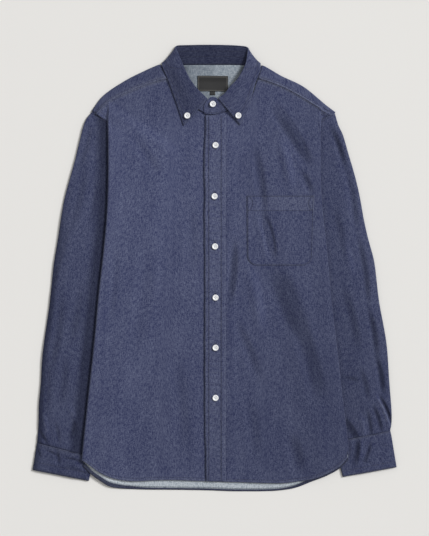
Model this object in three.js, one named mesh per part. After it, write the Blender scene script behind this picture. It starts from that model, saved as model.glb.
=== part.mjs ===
// A long-sleeved denim shirt with a button-down collar, buttoned up and laid flat on its back.
// Millimetres. X runs across the shirt, +Y towards the collar, +Z up from the surface it lies on.
// Right and left in a name are the wearer's, so the wearer's right lies at -X.
import * as THREE from "three";

// Driving sizes
const clothWall = 1.2; // each layer of cloth
const layerRise = 1.5; // from one layer's middle to the next where they touch
const frontRise = 2.5; // from the back's middle to the front's, which lies loosely on it
const sleeveHeight = 3.3; // a sleeve pressed flat
const cuffHeight = 4.2; // a cuff is two layers of cloth each side
const curlRadius = 2.7; // how the front rolls over at the body's sides
const cuffWall = 1.8;
const collarTurn = 0.9; // radius of the collar's roll line
const seamGap = 0.35; // half of it is taken off each side of a seam
const placketWidth = 36;
const placketX = 1.8; // the middle of the placket
const buttonRadius = 5.5;
const buttonHeight = 2.2;
const pocketTop = 130.9;
const pocketBottom = 5.8;
const yokeSeamY = 268; // where the yoke meets the back

// The body's sides: a row for each height, with the edge's X on the wearer's right and left,
// and how far the sleeve is tucked in under it
const bodySides = [
  { y: 302, right: -196, left: 194, tuck: 60 },
  { y: 270, right: -192.6, left: 191.5, tuck: 74 },
  { y: 182, right: -190.8, left: 190.8, tuck: 66 },
  { y: 106, right: -192.8, left: 193.9, tuck: 57 },
  { y: 43, right: -198, left: 201, tuck: 50 },
  { y: -45, right: -207.9, left: 209, tuck: 40 },
  { y: -102, right: -213.1, left: 215.3, tuck: 36 },
  { y: -166, right: -219.6, left: 223, tuck: 30 },
  { y: -221, right: -225.7, left: 229, tuck: 25 },
  { y: -304, right: -234.5, left: 239, tuck: 18 },
  { y: -346, right: -238.5, left: 243, tuck: 16 },
];

// The two hems: a row for each place across the shirt
const hems = [
  { x: -238.5, front: -345, back: -357 },
  { x: -224, front: -355, back: -371.5 },
  { x: -209, front: -365.8, back: -382 },
  { x: -194, front: -373, back: -391 },
  { x: -174, front: -379, back: -395.3 },
  { x: -145, front: -382.3, back: -397 },
  { x: -91, front: -380.2, back: -397.8 },
  { x: -15, front: -382.3, back: -398.8 },
  { x: 47, front: -384.3, back: -400.6 },
  { x: 117, front: -386.1, back: -399 },
  { x: 147, front: -382.7, back: -394 },
  { x: 175, front: -378, back: -383 },
  { x: 204.5, front: -365.4, back: -371 },
  { x: 227, front: -351.7, back: -357.6 },
  { x: 243, front: -332.1, back: -341 },
];

// The shoulders' ridge and the yoke's front seam below it, from the armhole to the neck
const shoulders = [
  { side: -1, at: 0, ridgeX: -221, ridgeY: 283, seamX: -214, seamY: 278 },
  { side: -1, at: 0.25, ridgeX: -200, ridgeY: 311, seamX: -190, seamY: 301 },
  { side: -1, at: 0.5, ridgeX: -163, ridgeY: 336.5, seamX: -154, seamY: 319 },
  { side: -1, at: 0.75, ridgeX: -128, ridgeY: 354.5, seamX: -121, seamY: 332 },
  { side: -1, at: 0.9, ridgeX: -103, ridgeY: 363.6, seamX: -98, seamY: 339 },
  { side: -1, at: 1, ridgeX: -90, ridgeY: 360, seamX: -84, seamY: 342 },
  { side: 1, at: 0, ridgeX: 217, ridgeY: 281, seamX: 210, seamY: 277 },
  { side: 1, at: 0.25, ridgeX: 198, ridgeY: 296, seamX: 190, seamY: 289 },
  { side: 1, at: 0.5, ridgeX: 160, ridgeY: 327, seamX: 146, seamY: 315.5 },
  { side: 1, at: 0.75, ridgeX: 118, ridgeY: 347.5, seamX: 114, seamY: 331 },
  { side: 1, at: 0.9, ridgeX: 94, ridgeY: 361.5, seamX: 90, seamY: 339 },
  { side: 1, at: 1, ridgeX: 85, ridgeY: 365, seamX: 78, seamY: 342 },
];

// The front neckline, from the yoke seam to the middle
const necklines = [
  { side: -1, at: 0, x: -84, y: 342 },
  { side: -1, at: 0.3, x: -72, y: 317 },
  { side: -1, at: 0.6, x: -48, y: 296 },
  { side: -1, at: 0.85, x: -22, y: 283 },
  { side: -1, at: 1, x: 20, y: 277 },
  { side: 1, at: 0, x: 78, y: 342 },
  { side: 1, at: 0.3, x: 70, y: 317 },
  { side: 1, at: 0.6, x: 48, y: 296 },
  { side: 1, at: 0.85, x: 24, y: 284 },
  { side: 1, at: 1, x: -16.2, y: 276 },
];

// The widest soft troughs of the fronts: both ends, the trough's half width and its depth
const bodyFolds = [
  { x1: 137, y1: 248, x2: 178, y2: 140, half: 15, depth: 0.5 },
  { x1: 86, y1: 104, x2: 128, y2: -76, half: 20, depth: 0.6 },
  { x1: 128, y1: -76, x2: 155, y2: -166, half: 18, depth: 0.5 },
  { x1: 34, y1: 23, x2: 30, y2: -85, half: 13, depth: 0.5 },
  { x1: -43, y1: 122, x2: -40, y2: -22, half: 20, depth: 0.6 },
  { x1: -120, y1: 60, x2: -150, y2: -180, half: 20, depth: 0.5 },
  { x1: -70, y1: -150, x2: -60, y2: -340, half: 18, depth: 0.45 },
];

// The sleeves: a row for each ring, with the outer edge's and the inner edge's places
const sleeveRight = [
  { outX: -221.4, outY: 279.5, inX: -112, inY: 208 },
  { outX: -232, outY: 265, inX: -113, inY: 186 },
  { outX: -243, outY: 230, inX: -118, inY: 150 },
  { outX: -252, outY: 194, inX: -125, inY: 118 },
  { outX: -261, outY: 158, inX: -132, inY: 86 },
  { outX: -270, outY: 122, inX: -139, inY: 54 },
  { outX: -277.2, outY: 86, inX: -147, inY: 22 },
  { outX: -283, outY: 50, inX: -154, inY: -10 },
  { outX: -288, outY: 14, inX: -162, inY: -42 },
  { outX: -292, outY: -24, inX: -171, inY: -74 },
  { outX: -297, outY: -62, inX: -178, inY: -106 },
  { outX: -302.4, outY: -98, inX: -184, inY: -138 },
  { outX: -306.5, outY: -134, inX: -190, inY: -170 },
  { outX: -310, outY: -170, inX: -196, inY: -202 },
  { outX: -313, outY: -206, inX: -202, inY: -234 },
  { outX: -316.4, outY: -240, inX: -208, inY: -265 },
  { outX: -316.6, outY: -276, inX: -213.6, inY: -302 },
  { outX: -319, outY: -312.5, inX: -218.6, inY: -338.5 },
];
const sleeveLeft = [
  { outX: 217.8, outY: 278, inX: 112, inY: 214 },
  { outX: 223, outY: 258, inX: 113, inY: 192 },
  { outX: 232.5, outY: 238, inX: 118, inY: 158 },
  { outX: 243, outY: 200, inX: 125, inY: 124 },
  { outX: 253, outY: 162, inX: 132, inY: 90 },
  { outX: 262, outY: 125, inX: 139, inY: 56 },
  { outX: 269.5, outY: 88, inX: 147, inY: 24 },
  { outX: 277, outY: 52, inX: 155, inY: -8 },
  { outX: 286, outY: 15, inX: 163, inY: -40 },
  { outX: 291.6, outY: -22, inX: 171, inY: -72 },
  { outX: 297, outY: -60, inX: 179, inY: -104 },
  { outX: 303, outY: -97, inX: 186, inY: -136 },
  { outX: 308.5, outY: -134, inX: 193, inY: -168 },
  { outX: 312.5, outY: -170, inX: 199, inY: -200 },
  { outX: 315.5, outY: -206, inX: 205, inY: -232 },
  { outX: 317.5, outY: -242, inX: 211, inY: -262 },
  { outX: 318.6, outY: -273, inX: 217, inY: -290 },
  { outX: 315.6, outY: -291, inX: 221, inY: -310 },
];
const cuffRight = [
  { outX: -319.6, outY: -313.5, inX: -218.9, inY: -339.5 },
  { outX: -321.6, outY: -325, inX: -220.2, inY: -350.5 },
  { outX: -323.5, outY: -339, inX: -221.5, inY: -361 },
  { outX: -327.4, outY: -362, inX: -226, inY: -382 },
];
const cuffLeft = [
  { outX: 316.4, outY: -292, inX: 221.3, inY: -311 },
  { outX: 318.8, outY: -304, inX: 222, inY: -323 },
  { outX: 323.6, outY: -333, inX: 225.4, inY: -352 },
  { outX: 327.6, outY: -357, inX: 230.4, inY: -374.8 },
];

// The collar: a row for each section round the neck, with its seam to the body, the roll line where it
// turns over, and the free edge of the turned-down part. Heights are of the cloth's middle.
const collarRows = [
  { seamX: -17, seamY: 279, seamZ: 5.2, rollX: -13, rollY: 303.5, rollZ: 8.6,
    edgeX: -55.8, edgeY: 256.5, edgeZ: 5.0 },
  { seamX: -31, seamY: 287, seamZ: 5.4, rollX: -22.5, rollY: 312.5, rollZ: 11.2,
    edgeX: -64, edgeY: 283, edgeZ: 5.2 },
  { seamX: -47, seamY: 297, seamZ: 5.4, rollX: -33, rollY: 323, rollZ: 12.4,
    edgeX: -72.5, edgeY: 308, edgeZ: 5.6 },
  { seamX: -60, seamY: 308, seamZ: 5.3, rollX: -44, rollY: 338, rollZ: 12.8,
    edgeX: -81, edgeY: 332, edgeZ: 6.2 },
  { seamX: -71, seamY: 320, seamZ: 5.2, rollX: -52, rollY: 353, rollZ: 12.4,
    edgeX: -89, edgeY: 351, edgeZ: 7.2 },
  { seamX: -78, seamY: 334, seamZ: 5.0, rollX: -58.5, rollY: 368, rollZ: 11.2,
    edgeX: -93.6, edgeY: 362, edgeZ: 8.0 },
  { seamX: -78, seamY: 349, seamZ: 4.0, rollX: -65, rollY: 384, rollZ: 9.0,
    edgeX: -94.6, edgeY: 368.6, edgeZ: 5.6 },
  { seamX: -72, seamY: 360, seamZ: 3.0, rollX: -69, rollY: 394.5, rollZ: 6.0,
    edgeX: -92.5, edgeY: 369, edgeZ: 2.6 },
  { seamX: -60, seamY: 365.3, seamZ: 2.45, rollX: -66, rollY: 399.6, rollZ: 3.0,
    edgeX: -83, edgeY: 356, edgeZ: 0.6 },
  { seamX: -42, seamY: 366.3, seamZ: 2.45, rollX: -46, rollY: 400.5, rollZ: 2.45,
    edgeX: -52, edgeY: 351, edgeZ: 0.6 },
  { seamX: -20, seamY: 366.5, seamZ: 2.45, rollX: -22, rollY: 401, rollZ: 2.45,
    edgeX: -24, edgeY: 350, edgeZ: 0.6 },
  { seamX: 0, seamY: 366.5, seamZ: 2.45, rollX: 0, rollY: 401, rollZ: 2.45,
    edgeX: 0, edgeY: 350, edgeZ: 0.6 },
  { seamX: 20, seamY: 366.5, seamZ: 2.45, rollX: 22, rollY: 400.6, rollZ: 2.45,
    edgeX: 24, edgeY: 350, edgeZ: 0.6 },
  { seamX: 40, seamY: 366.3, seamZ: 2.45, rollX: 42, rollY: 399.6, rollZ: 2.45,
    edgeX: 48, edgeY: 351, edgeZ: 0.6 },
  { seamX: 55, seamY: 365.3, seamZ: 2.45, rollX: 57, rollY: 397.5, rollZ: 3.0,
    edgeX: 74, edgeY: 355, edgeZ: 0.6 },
  { seamX: 66, seamY: 360, seamZ: 3.0, rollX: 59.5, rollY: 391, rollZ: 6.0,
    edgeX: 80.5, edgeY: 369, edgeZ: 2.6 },
  { seamX: 72, seamY: 349, seamZ: 4.0, rollX: 58.2, rollY: 379, rollZ: 9.0,
    edgeX: 82.6, edgeY: 368, edgeZ: 5.6 },
  { seamX: 73, seamY: 334, seamZ: 5.0, rollX: 55.5, rollY: 365, rollZ: 11.2,
    edgeX: 83, edgeY: 359.5, edgeZ: 8.0 },
  { seamX: 67, seamY: 320, seamZ: 5.4, rollX: 48.5, rollY: 350, rollZ: 12.4,
    edgeX: 79.5, edgeY: 348, edgeZ: 7.2 },
  { seamX: 57, seamY: 308, seamZ: 6.2, rollX: 40, rollY: 337, rollZ: 13.0,
    edgeX: 73, edgeY: 331, edgeZ: 6.6 },
  { seamX: 46, seamY: 297, seamZ: 6.9, rollX: 28, rollY: 325, rollZ: 12.8,
    edgeX: 66.5, edgeY: 308, edgeZ: 6.2 },
  { seamX: 32, seamY: 288, seamZ: 7.1, rollX: 19, rollY: 313, rollZ: 11.8,
    edgeX: 57, edgeY: 284, edgeZ: 6.0 },
  { seamX: 16, seamY: 281, seamZ: 7.5, rollX: 7, rollY: 304.5, rollZ: 10.4,
    edgeX: 46.1, edgeY: 257.5, edgeZ: 5.8 },
];

const denim = new THREE.MeshStandardMaterial({ color: 0x484c6e, roughness: 0.9, metalness: 0 });
const denimInside = new THREE.MeshStandardMaterial({ color: 0x8a98a4, roughness: 0.9, metalness: 0 });
const labelCloth = new THREE.MeshStandardMaterial({ color: 0x1d1d20, roughness: 0.8, metalness: 0 });
const buttonWhite = new THREE.MeshStandardMaterial({ color: 0xe9eaec, roughness: 0.35, metalness: 0 });

const shirt = new THREE.Group();
shirt.name = "denim_shirt";

// Smooth step from 0 to 1 as a value goes from one limit to the other.
function ease(from, to, value) {
  const t = Math.min(1, Math.max(0, (value - from) / (to - from)));
  return t * t * (3 - 2 * t);
}

// A column of a table at a place on another column, by straight lines between its rows.
function lookUp(rows, place, key, column) {
  const rising = rows[rows.length - 1][key] > rows[0][key];
  const list = rising ? rows : [...rows].reverse();
  if (place <= list[0][key]) return list[0][column];
  for (let i = 1; i < list.length; i++)
    if (place <= list[i][key]) {
      const t = (place - list[i - 1][key]) / (list[i][key] - list[i - 1][key]);
      return list[i - 1][column] + t * (list[i][column] - list[i - 1][column]);
    }
  return list[list.length - 1][column];
}

function bodyEdge(side, y) {
  return lookUp(bodySides, y, "y", side < 0 ? "right" : "left");
}

// Height of the back's middle: flat on the surface, raised over the sleeves at the sides and over
// the back of the collar at the neck.
function backLevel(x, y) {
  const side = Math.sign(x) || 1;
  const inward = Math.abs(bodyEdge(side, y)) - Math.abs(x);
  const tuck = lookUp(bodySides, y, "y", "tuck");
  const armhole = 280 + 0.66 * (Math.abs(x) - 218); // the sleeve's top edge, slanting down inwards
  const outside = ease(190.5, 196, Math.abs(x)) * ease(258, 264, y); // the corner beyond the body's fold
  const besideSleeve = ease(tuck + 18, tuck + 76, inward);
  const aboveSleeve = ease(armhole + 18, armhole + 44, y);
  const overSleeve = (1 - besideSleeve) * (1 - aboveSleeve) * (1 - outside);
  const under = sleeveHeight + (cuffHeight - sleeveHeight) * (1 - ease(-300, -280, y));
  const overCollar = ease(334, 346, y) * (1 - ease(98, 122, Math.abs(x)));
  return clothWall / 2 + (under + 0.5) * overSleeve + (2 * collarTurn) * overCollar;
}

// How far a soft trough takes the cloth down at a place.
function foldDrop(x, y) {
  let drop = 0;
  for (const f of bodyFolds) {
    const dx = f.x2 - f.x1;
    const dy = f.y2 - f.y1;
    const length = Math.hypot(dx, dy);
    const along = ((x - f.x1) * dx + (y - f.y1) * dy) / length;
    const off = Math.abs((x - f.x1) * dy - (y - f.y1) * dx) / length;
    const ends = ease(-10, length * 0.3, along) * (1 - ease(length * 0.7, length + 10, along));
    drop += f.depth * ends * (1 - ease(0, f.half, off));
  }
  return drop;
}

// Height of a front's middle. The wearer's left front lies over the right one at the placket.
function frontLevel(side, x, y) {
  const lap = side > 0 ? layerRise * (1 - ease(24, 44, x)) : 0;
  return backLevel(x, y) + frontRise + lap - foldDrop(x, y);
}

// Closed wall round a grid of points: grid[i][j] is the cloth's middle. left says which cells are left out.
function wall(grid, thickness = clothWall, left = () => false) {
  const rows = grid.length;
  const columns = grid[0].length;
  const filled = (i, j) => i >= 0 && j >= 0 && i < rows - 1 && j < columns - 1 && !left(i, j);
  const normals = grid.map((row) => row.map(() => new THREE.Vector3()));
  const cells = [];
  for (let i = 0; i < rows - 1; i++)
    for (let j = 0; j < columns - 1; j++) {
      if (!filled(i, j)) continue;
      cells.push([i, j]);
      const diagonal = grid[i + 1][j + 1].clone().sub(grid[i][j]);
      const normal = diagonal.cross(grid[i + 1][j].clone().sub(grid[i][j + 1])).normalize();
      for (const [a, b] of [[i, j], [i, j + 1], [i + 1, j], [i + 1, j + 1]]) normals[a][b].add(normal);
    }
  const points = [];
  const numbers = new Map();
  const corner = (i, j, sign) => {
    const key = `${i},${j},${sign}`;
    if (!numbers.has(key)) {
      numbers.set(key, points.length);
      const normal = normals[i][j].clone().normalize();
      points.push(grid[i][j].clone().addScaledVector(normal, (sign * thickness) / 2));
    }
    return numbers.get(key);
  };
  const faces = [];
  const quad = (a, b, c, d) => faces.push(a, b, c, a, c, d);
  const side = (a, b) => quad(corner(...a, 1), corner(...a, -1), corner(...b, -1), corner(...b, 1));
  for (const [i, j] of cells) {
    const [a, b, c, d] = [[i, j], [i, j + 1], [i + 1, j + 1], [i + 1, j]];
    quad(...[a, b, c, d].map((at) => corner(...at, 1)));
    quad(...[a, d, c, b].map((at) => corner(...at, -1)));
    if (!filled(i - 1, j)) side(a, b);
    if (!filled(i, j + 1)) side(b, c);
    if (!filled(i + 1, j)) side(c, d);
    if (!filled(i, j - 1)) side(d, a);
  }
  return geometry(points, faces);
}

// Mesh data from points and faces, turned round where its volume comes out negative.
function geometry(points, faces) {
  let volume = 0;
  for (let f = 0; f < faces.length; f += 3) {
    const [a, b, c] = [points[faces[f]], points[faces[f + 1]], points[faces[f + 2]]];
    volume += a.dot(b.clone().cross(c));
  }
  if (volume < 0)
    for (let f = 0; f < faces.length; f += 3) [faces[f + 1], faces[f + 2]] = [faces[f + 2], faces[f + 1]];
  const made = new THREE.BufferGeometry();
  made.setAttribute("position", new THREE.Float32BufferAttribute(points.flatMap((p) => p.toArray()), 3));
  made.setIndex(faces);
  made.computeVertexNormals();
  return made;
}

// A grid of points from a function of two shares, each given as a list.
function gridOf(rowShares, columnShares, place) {
  return rowShares.map((v) => columnShares.map((u) => place(u, v)));
}

function shares(count, bend = 1) {
  return Array.from({ length: count + 1 }, (_, k) => Math.pow(k / count, bend));
}

function add(name, shape, material) {
  const mesh = new THREE.Mesh(shape, material);
  mesh.name = name;
  shirt.add(mesh);
  return mesh;
}

// The fronts. u runs from the body's side to the middle and v from the top edge to the hem.
const curlAngles = [0, 30, 60, 90]; // the first columns go round the rolled side
const curlCorner = [1, 0.5, 0.08, 0]; // how much of the shoulder's outer corner they take
const cornerLow = [1, 1, 0.75, 0]; // and how low they lie there
const cornerRows = 0.08; // share of the front's height in which the corner's top slants down
const frontRows = [
  ...[0, 0.012, 0.024, 0.034, 0.055],
  ...shares(28).map((t) => cornerRows + (1 - cornerRows) * t),
];
const hemRows = 0.9; // from here down the rows next to the rolled side bend to the hem's curve
const curlFrom = 262; // below this height a front's side is rolled over in full
const hemReach = 236; // half of the hem's width where the roll starts

// Each front: where its middle edge is, the armhole's two ends on it, and the bottom of its rolled side.
// neckColumn is the column that meets the neck's end of the yoke seam.
const frontEdges = {
  [-1]: { middle: 19.5, armX: 214, armY: 278, cornerY: 262.8, bottom: -345, neckColumn: 0.476 },
  1: { middle: -16.2, armX: 210, armY: 277, cornerY: 266, bottom: -332, neckColumn: 0.552 },
};

function frontColumns(side) {
  const { neckColumn } = frontEdges[side];
  const outer = shares(4).map((t) => 0.15 + (neckColumn - 0.15) * t);
  const inner = shares(6).slice(1).map((t) => neckColumn + (1 - neckColumn) * t);
  return [0.03, 0.09, ...outer, ...inner];
}

function topEdge(side, x) {
  const seam = shoulders.filter((row) => row.side === side);
  const neck = necklines.filter((row) => row.side === side);
  const neckEnd = neck[0].x;
  return Math.abs(x) >= Math.abs(neckEnd) && Math.sign(x) === side
    ? lookUp(seam, x, "seamX", "seamY")
    : lookUp(neck, x, "x", "y");
}

function frontGrid(side) {
  const { middle, armX, armY, cornerY, bottom } = frontEdges[side];
  const foldAt = (y) => Math.abs(bodyEdge(side, Math.min(y, curlFrom)));
  return frontRows.map((v) => {
    const edgeY = armY - seamGap + v * (bottom - armY);
    const edge = foldAt(edgeY);
    const slant = 1 - ease(0, cornerRows, v); // how much of the yoke seam's slant a row keeps
    const out = Math.max(0, (edgeY - cornerY) / (armY - cornerY)) * (armX - edge);
    const depth = (curlRadius + 0.1) * (1 - ease(cornerY, armY, edgeY));
    const crestX = side * (edge - curlRadius);
    const rolled = curlAngles.map((angle, k) => {
      const turn = (angle * Math.PI) / 180;
      const share = Math.min(1, out / 6);
      const low = (1 - share) * (1 - Math.sin(turn)) + share * cornerLow[k];
      const x = side * (edge - curlRadius * (1 - Math.cos(turn)) + out * curlCorner[k]);
      const topX = side * (foldAt(armY) + (armX - foldAt(armY)) * curlCorner[k]);
      const y = edgeY + (topEdge(side, topX) - armY) * slant;
      return new THREE.Vector3(x, y, frontLevel(side, crestX, edgeY) - depth * low);
    });
    const rest = frontColumns(side).map((u) => {
      const x = crestX * (1 - u) + middle * u;
      const top = topEdge(side, side * (foldAt(armY) - curlRadius) * (1 - u) + middle * u) - seamGap;
      const hem = lookUp(hems, side * hemReach * (1 - u) + middle * u, "x", "front");
      const onEdge = edgeY + (top - armY) * slant + (hem - bottom) * ease(hemRows, 1, v);
      const near = Math.min(1, u / 0.1); // the first columns are rows of the rolled side too
      const y = onEdge * (1 - near) + (top + v * (hem - top)) * near;
      return new THREE.Vector3(x, y, frontLevel(side, x, y));
    });
    return [...rolled, ...rest];
  });
}

const rightGrid = frontGrid(-1);
const leftGrid = frontGrid(1);
add("front_right", wall(rightGrid), denim);
add("front_left", wall(leftGrid), denim);

// The back below the yoke, flat in the middle
const backHalf = [0.2, 0.4, 0.6, 0.69, 0.77, 0.85, 0.93, 1]; // closer over the sleeves
const backColumns = [...backHalf.map((u) => -u).reverse(), 0, ...backHalf];
const backSideEnd = -350; // where its sides meet the hem
const backHemReach = 240;
const backRows = [0, 0.02, 0.05, 0.1].concat(shares(14).slice(1).map((t) => 0.1 + 0.9 * t));

function backPoint(u, v) {
  const side = Math.sign(u) || 1;
  const edgeY = yokeSeamY - seamGap + v * (backSideEnd - yokeSeamY);
  const inset = clothWall / 2 + seamGap + 0.9;
  const x = u * (Math.abs(bodyEdge(side, edgeY)) - inset);
  const hem = lookUp(hems, u * backHemReach, "x", "back");
  const y = yokeSeamY - seamGap + v * (hem - yokeSeamY);
  return new THREE.Vector3(x, y, backLevel(x, y));
}

add("back_panel", wall(gridOf(backRows, backColumns, backPoint)), denim);

// The yoke: up the back, over the shoulders' ridge and down to the fronts, with the neck left out
const neckEdge = [
  { x: -77.5, y: 353.5 },
  { x: -62, y: 364 },
  { x: -42, y: 365.6 },
  { x: -14, y: 365.8 },
  { x: 14, y: 365.8 },
  { x: 40, y: 365.6 },
  { x: 57, y: 364 },
  { x: 71, y: 354.5 },
];

const yokeBackRows = 8;

function yokeColumn(bottomX, top, seam) {
  const low = shares(yokeBackRows).map((t) => {
    const x = bottomX + (top.x - bottomX) * t;
    const y = yokeSeamY + (top.y - yokeSeamY) * t;
    return new THREE.Vector3(x, y, backLevel(x, y));
  });
  const from = low[yokeBackRows];
  const radius = frontRise / 2;
  const high = [45, 90, 135, 180].map((angle) => {
    const turn = (angle * Math.PI) / 180;
    const drop = seam ? seam.out.clone().multiplyScalar(radius * Math.sin(turn)) : new THREE.Vector2();
    return new THREE.Vector3(from.x + drop.x, from.y + drop.y, from.z + radius * (1 - Math.cos(turn)));
  });
  const ends = [0.5, 1].map((t) => {
    if (!seam) return from.clone();
    const x = from.x + (seam.x - from.x) * t;
    const y = from.y + (seam.y - from.y) * t;
    return new THREE.Vector3(x, y, frontLevel(Math.sign(seam.x), x, y));
  });
  return [...low, ...high, ...ends];
}

const yokeHalf = 196; // half of the yoke's width at its back seam
const yokeTaper = 100; // and how much further in the column at the neck starts
const shoulderShares = [0, 0.12, 0.25, 0.37, 0.5, 0.62, 0.75, 0.9, 1];

function shoulderColumns(side) {
  const rows = shoulders.filter((row) => row.side === side);
  const at = (share, column) => lookUp(rows, share, "at", column);
  return shoulderShares.map((share) => {
    const [low, high] = [Math.max(share - 0.1, 0), Math.min(share + 0.1, 1)];
    const run = { x: at(high, "ridgeX") - at(low, "ridgeX"), y: at(high, "ridgeY") - at(low, "ridgeY") };
    const out = new THREE.Vector2(-run.y, run.x).normalize();
    if (out.y < 0) out.negate();
    const back = (frontRise + clothWall) / 2;
    const top = { x: at(share, "ridgeX") - out.x * back, y: at(share, "ridgeY") - out.y * back };
    const seam = { x: at(share, "seamX"), y: at(share, "seamY") + seamGap / 2, out };
    return yokeColumn(side * (yokeHalf - yokeTaper * share), top, seam);
  });
}

const yokeColumns = [
  ...shoulderColumns(-1),
  ...neckEdge.map((edge) => yokeColumn(edge.x, edge)),
  ...shoulderColumns(1).reverse(),
];
const shoulderCount = shoulderShares.length;
const yokeGrid = yokeColumns[0].map((_, i) => yokeColumns.map((column) => column[i]));
const pastNeck = yokeColumns.length - shoulderCount;
const inNeck = (i, j) => i >= yokeBackRows && j >= shoulderCount - 1 && j < pastNeck;
add("yoke", wall(yokeGrid, clothWall, inNeck), denimInside);

// The placket follows the wearer's left front, one layer higher
const placketRows = leftGrid.slice(1).map((row) => {
  const y = row[row.length - 1].y;
  return [0, 0.35, 0.65, 1].map((t) => {
    const x = placketX - placketWidth / 2 + placketWidth * t;
    return new THREE.Vector3(x, y, frontLevel(1, x, y) + layerRise + 0.1);
  });
});
add("placket", wall(placketRows), denim);

// The pocket: rows of narrowing width at the bottom make its round corners
const pocketShape = [
  { y: pocketTop, left: 58.5, right: 179 },
  { y: 112, left: 58.5, right: 178.6 },
  { y: 90, left: 58.5, right: 178 },
  { y: 66, left: 58.8, right: 177 },
  { y: 42, left: 59, right: 176 },
  { y: 24, left: 59.2, right: 175 },
  { y: 14, left: 61, right: 173 },
  { y: 8.5, left: 66, right: 168 },
  { y: pocketBottom, left: 76, right: 158 },
];
const pocketGrid = pocketShape.map((row) =>
  shares(6).map((t) => {
    const x = row.left + (row.right - row.left) * t;
    return new THREE.Vector3(x, row.y, frontLevel(1, x, row.y) + layerRise + 0.35);
  }),
);
add("pocket", wall(pocketGrid), denim);

// Closed wall of a flattened tube. Each ring is a list of points round the outside and one round the inside.
function tubeWall(rings) {
  const around = rings[0].outer.length;
  const points = rings.flatMap((ring) => [...ring.outer, ...ring.inner]);
  const outer = (i, k) => i * 2 * around + (k % around);
  const inner = (i, k) => outer(i, k) + around;
  const faces = [];
  const quad = (a, b, c, d) => faces.push(a, b, c, a, c, d);
  for (let k = 0; k < around; k++) {
    for (let i = 0; i < rings.length - 1; i++) {
      quad(outer(i, k), outer(i, k + 1), outer(i + 1, k + 1), outer(i + 1, k));
      quad(inner(i, k), inner(i + 1, k), inner(i + 1, k + 1), inner(i, k + 1));
    }
    const last = rings.length - 1;
    quad(outer(0, k), inner(0, k), inner(0, k + 1), outer(0, k + 1));
    quad(outer(last, k), outer(last, k + 1), inner(last, k + 1), inner(last, k));
  }
  return geometry(points, faces);
}

// A flattened ring: flat below, round at both folds, and above with a slight swell as far as a share
// of the width called flat.
const topShares = [0.03, 0.1, 0.25, 0.4, 0.55, 0.7, 0.82, 0.9, 0.97];
function flatRing(row, height, thickness, swell = 0, flat = 0) {
  const from = new THREE.Vector3(row.outX, row.outY, 0);
  const to = new THREE.Vector3(row.inX, row.inY, 0);
  const ringAt = (inset) => {
    const low = inset;
    const high = height - inset;
    const width = from.distanceTo(to);
    const spot = (along, z) => from.clone().lerp(to, along / width).setZ(z);
    const radius = (high - low) / 2;
    const ring = [];
    for (const share of [0.03, 0.35, 0.65, 0.97]) ring.push(spot(width * share, low));
    for (const angle of [-50, 0, 50]) {
      const turn = (angle * Math.PI) / 180;
      ring.push(spot(width - height / 2 + radius * Math.cos(turn), height / 2 + radius * Math.sin(turn)));
    }
    for (const share of [...topShares].reverse()) {
      const hump = swell * ease(0, 0.16, share) * (1 - ease(flat, flat + 0.14, share));
      ring.push(spot(width * share, high + hump));
    }
    for (const angle of [130, 180, 230]) {
      const turn = (angle * Math.PI) / 180;
      ring.push(spot(height / 2 + radius * Math.cos(turn), height / 2 + radius * Math.sin(turn)));
    }
    return ring;
  };
  return { outer: ringAt(0), inner: ringAt(thickness) };
}

// A sleeve's top swells a little where it lies clear of the body.
const sleeveSwell = 0.9;

function sleeve(rows, side) {
  const rings = rows.map((row, k) => {
    const width = Math.hypot(row.inX - row.outX, row.inY - row.outY);
    const clear = Math.abs(row.outX) - Math.abs(bodyEdge(side, (row.outY + row.inY) / 2));
    const flat = Math.max(0.1, clear / width - 0.2);
    const ends = ease(0, 3, k) * (1 - ease(rows.length - 3, rows.length - 1, k));
    return flatRing(row, sleeveHeight, clothWall, sleeveSwell * ends, flat);
  });
  return tubeWall(rings);
}

add("sleeve_right", sleeve(sleeveRight, -1), denim);
add("sleeve_left", sleeve(sleeveLeft, 1), denim);

function cuff(rows) {
  return tubeWall(rows.map((row) => flatRing(row, cuffHeight, cuffWall)));
}

add("cuff_right", cuff(cuffRight), denim);
add("cuff_left", cuff(cuffLeft), denim);

// The collar's stand goes from the neck seam up to the roll line, and the fall from there over and down.
// Their outer side is up in front and down at the back of the neck.
const fallTurns = [0, 60, 120, 180];

function collarFrame(k) {
  const row = collarRows[k];
  const roll = new THREE.Vector3(row.rollX, row.rollY, row.rollZ);
  const up = roll.clone().sub(new THREE.Vector3(row.seamX, row.seamY, row.seamZ)).normalize();
  const next = collarRows[Math.min(k + 1, collarRows.length - 1)];
  const last = collarRows[Math.max(k - 1, 0)];
  const along = new THREE.Vector3(next.rollX - last.rollX, next.rollY - last.rollY, next.rollZ - last.rollZ);
  return { row, roll, up, out: up.clone().cross(along).normalize() };
}

function standSection(k) {
  const { row, roll, up } = collarFrame(k);
  const seam = new THREE.Vector3(row.seamX, row.seamY, row.seamZ);
  const top = roll.clone().addScaledVector(up, -4 * seamGap);
  return shares(3).map((t) => seam.clone().lerp(top, t));
}

// The stand's buttoned end on the wearer's left, past the fall and over the other end
const standEnd = [
  { seamX: 0, seamY: 278, seamZ: 7.9, topX: -3, topY: 307.5, topZ: 10.2 },
  { seamX: -14, seamY: 278, seamZ: 8.1, topX: -9.5, topY: 304.5, topZ: 10.9 },
  { seamX: -18, seamY: 282, seamZ: 8.3, topX: -17, topY: 294, topZ: 10.2 },
];

function standEndSection(row) {
  const seam = new THREE.Vector3(row.seamX, row.seamY, row.seamZ);
  return shares(3).map((t) => seam.clone().lerp(new THREE.Vector3(row.topX, row.topY, row.topZ), t));
}

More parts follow.
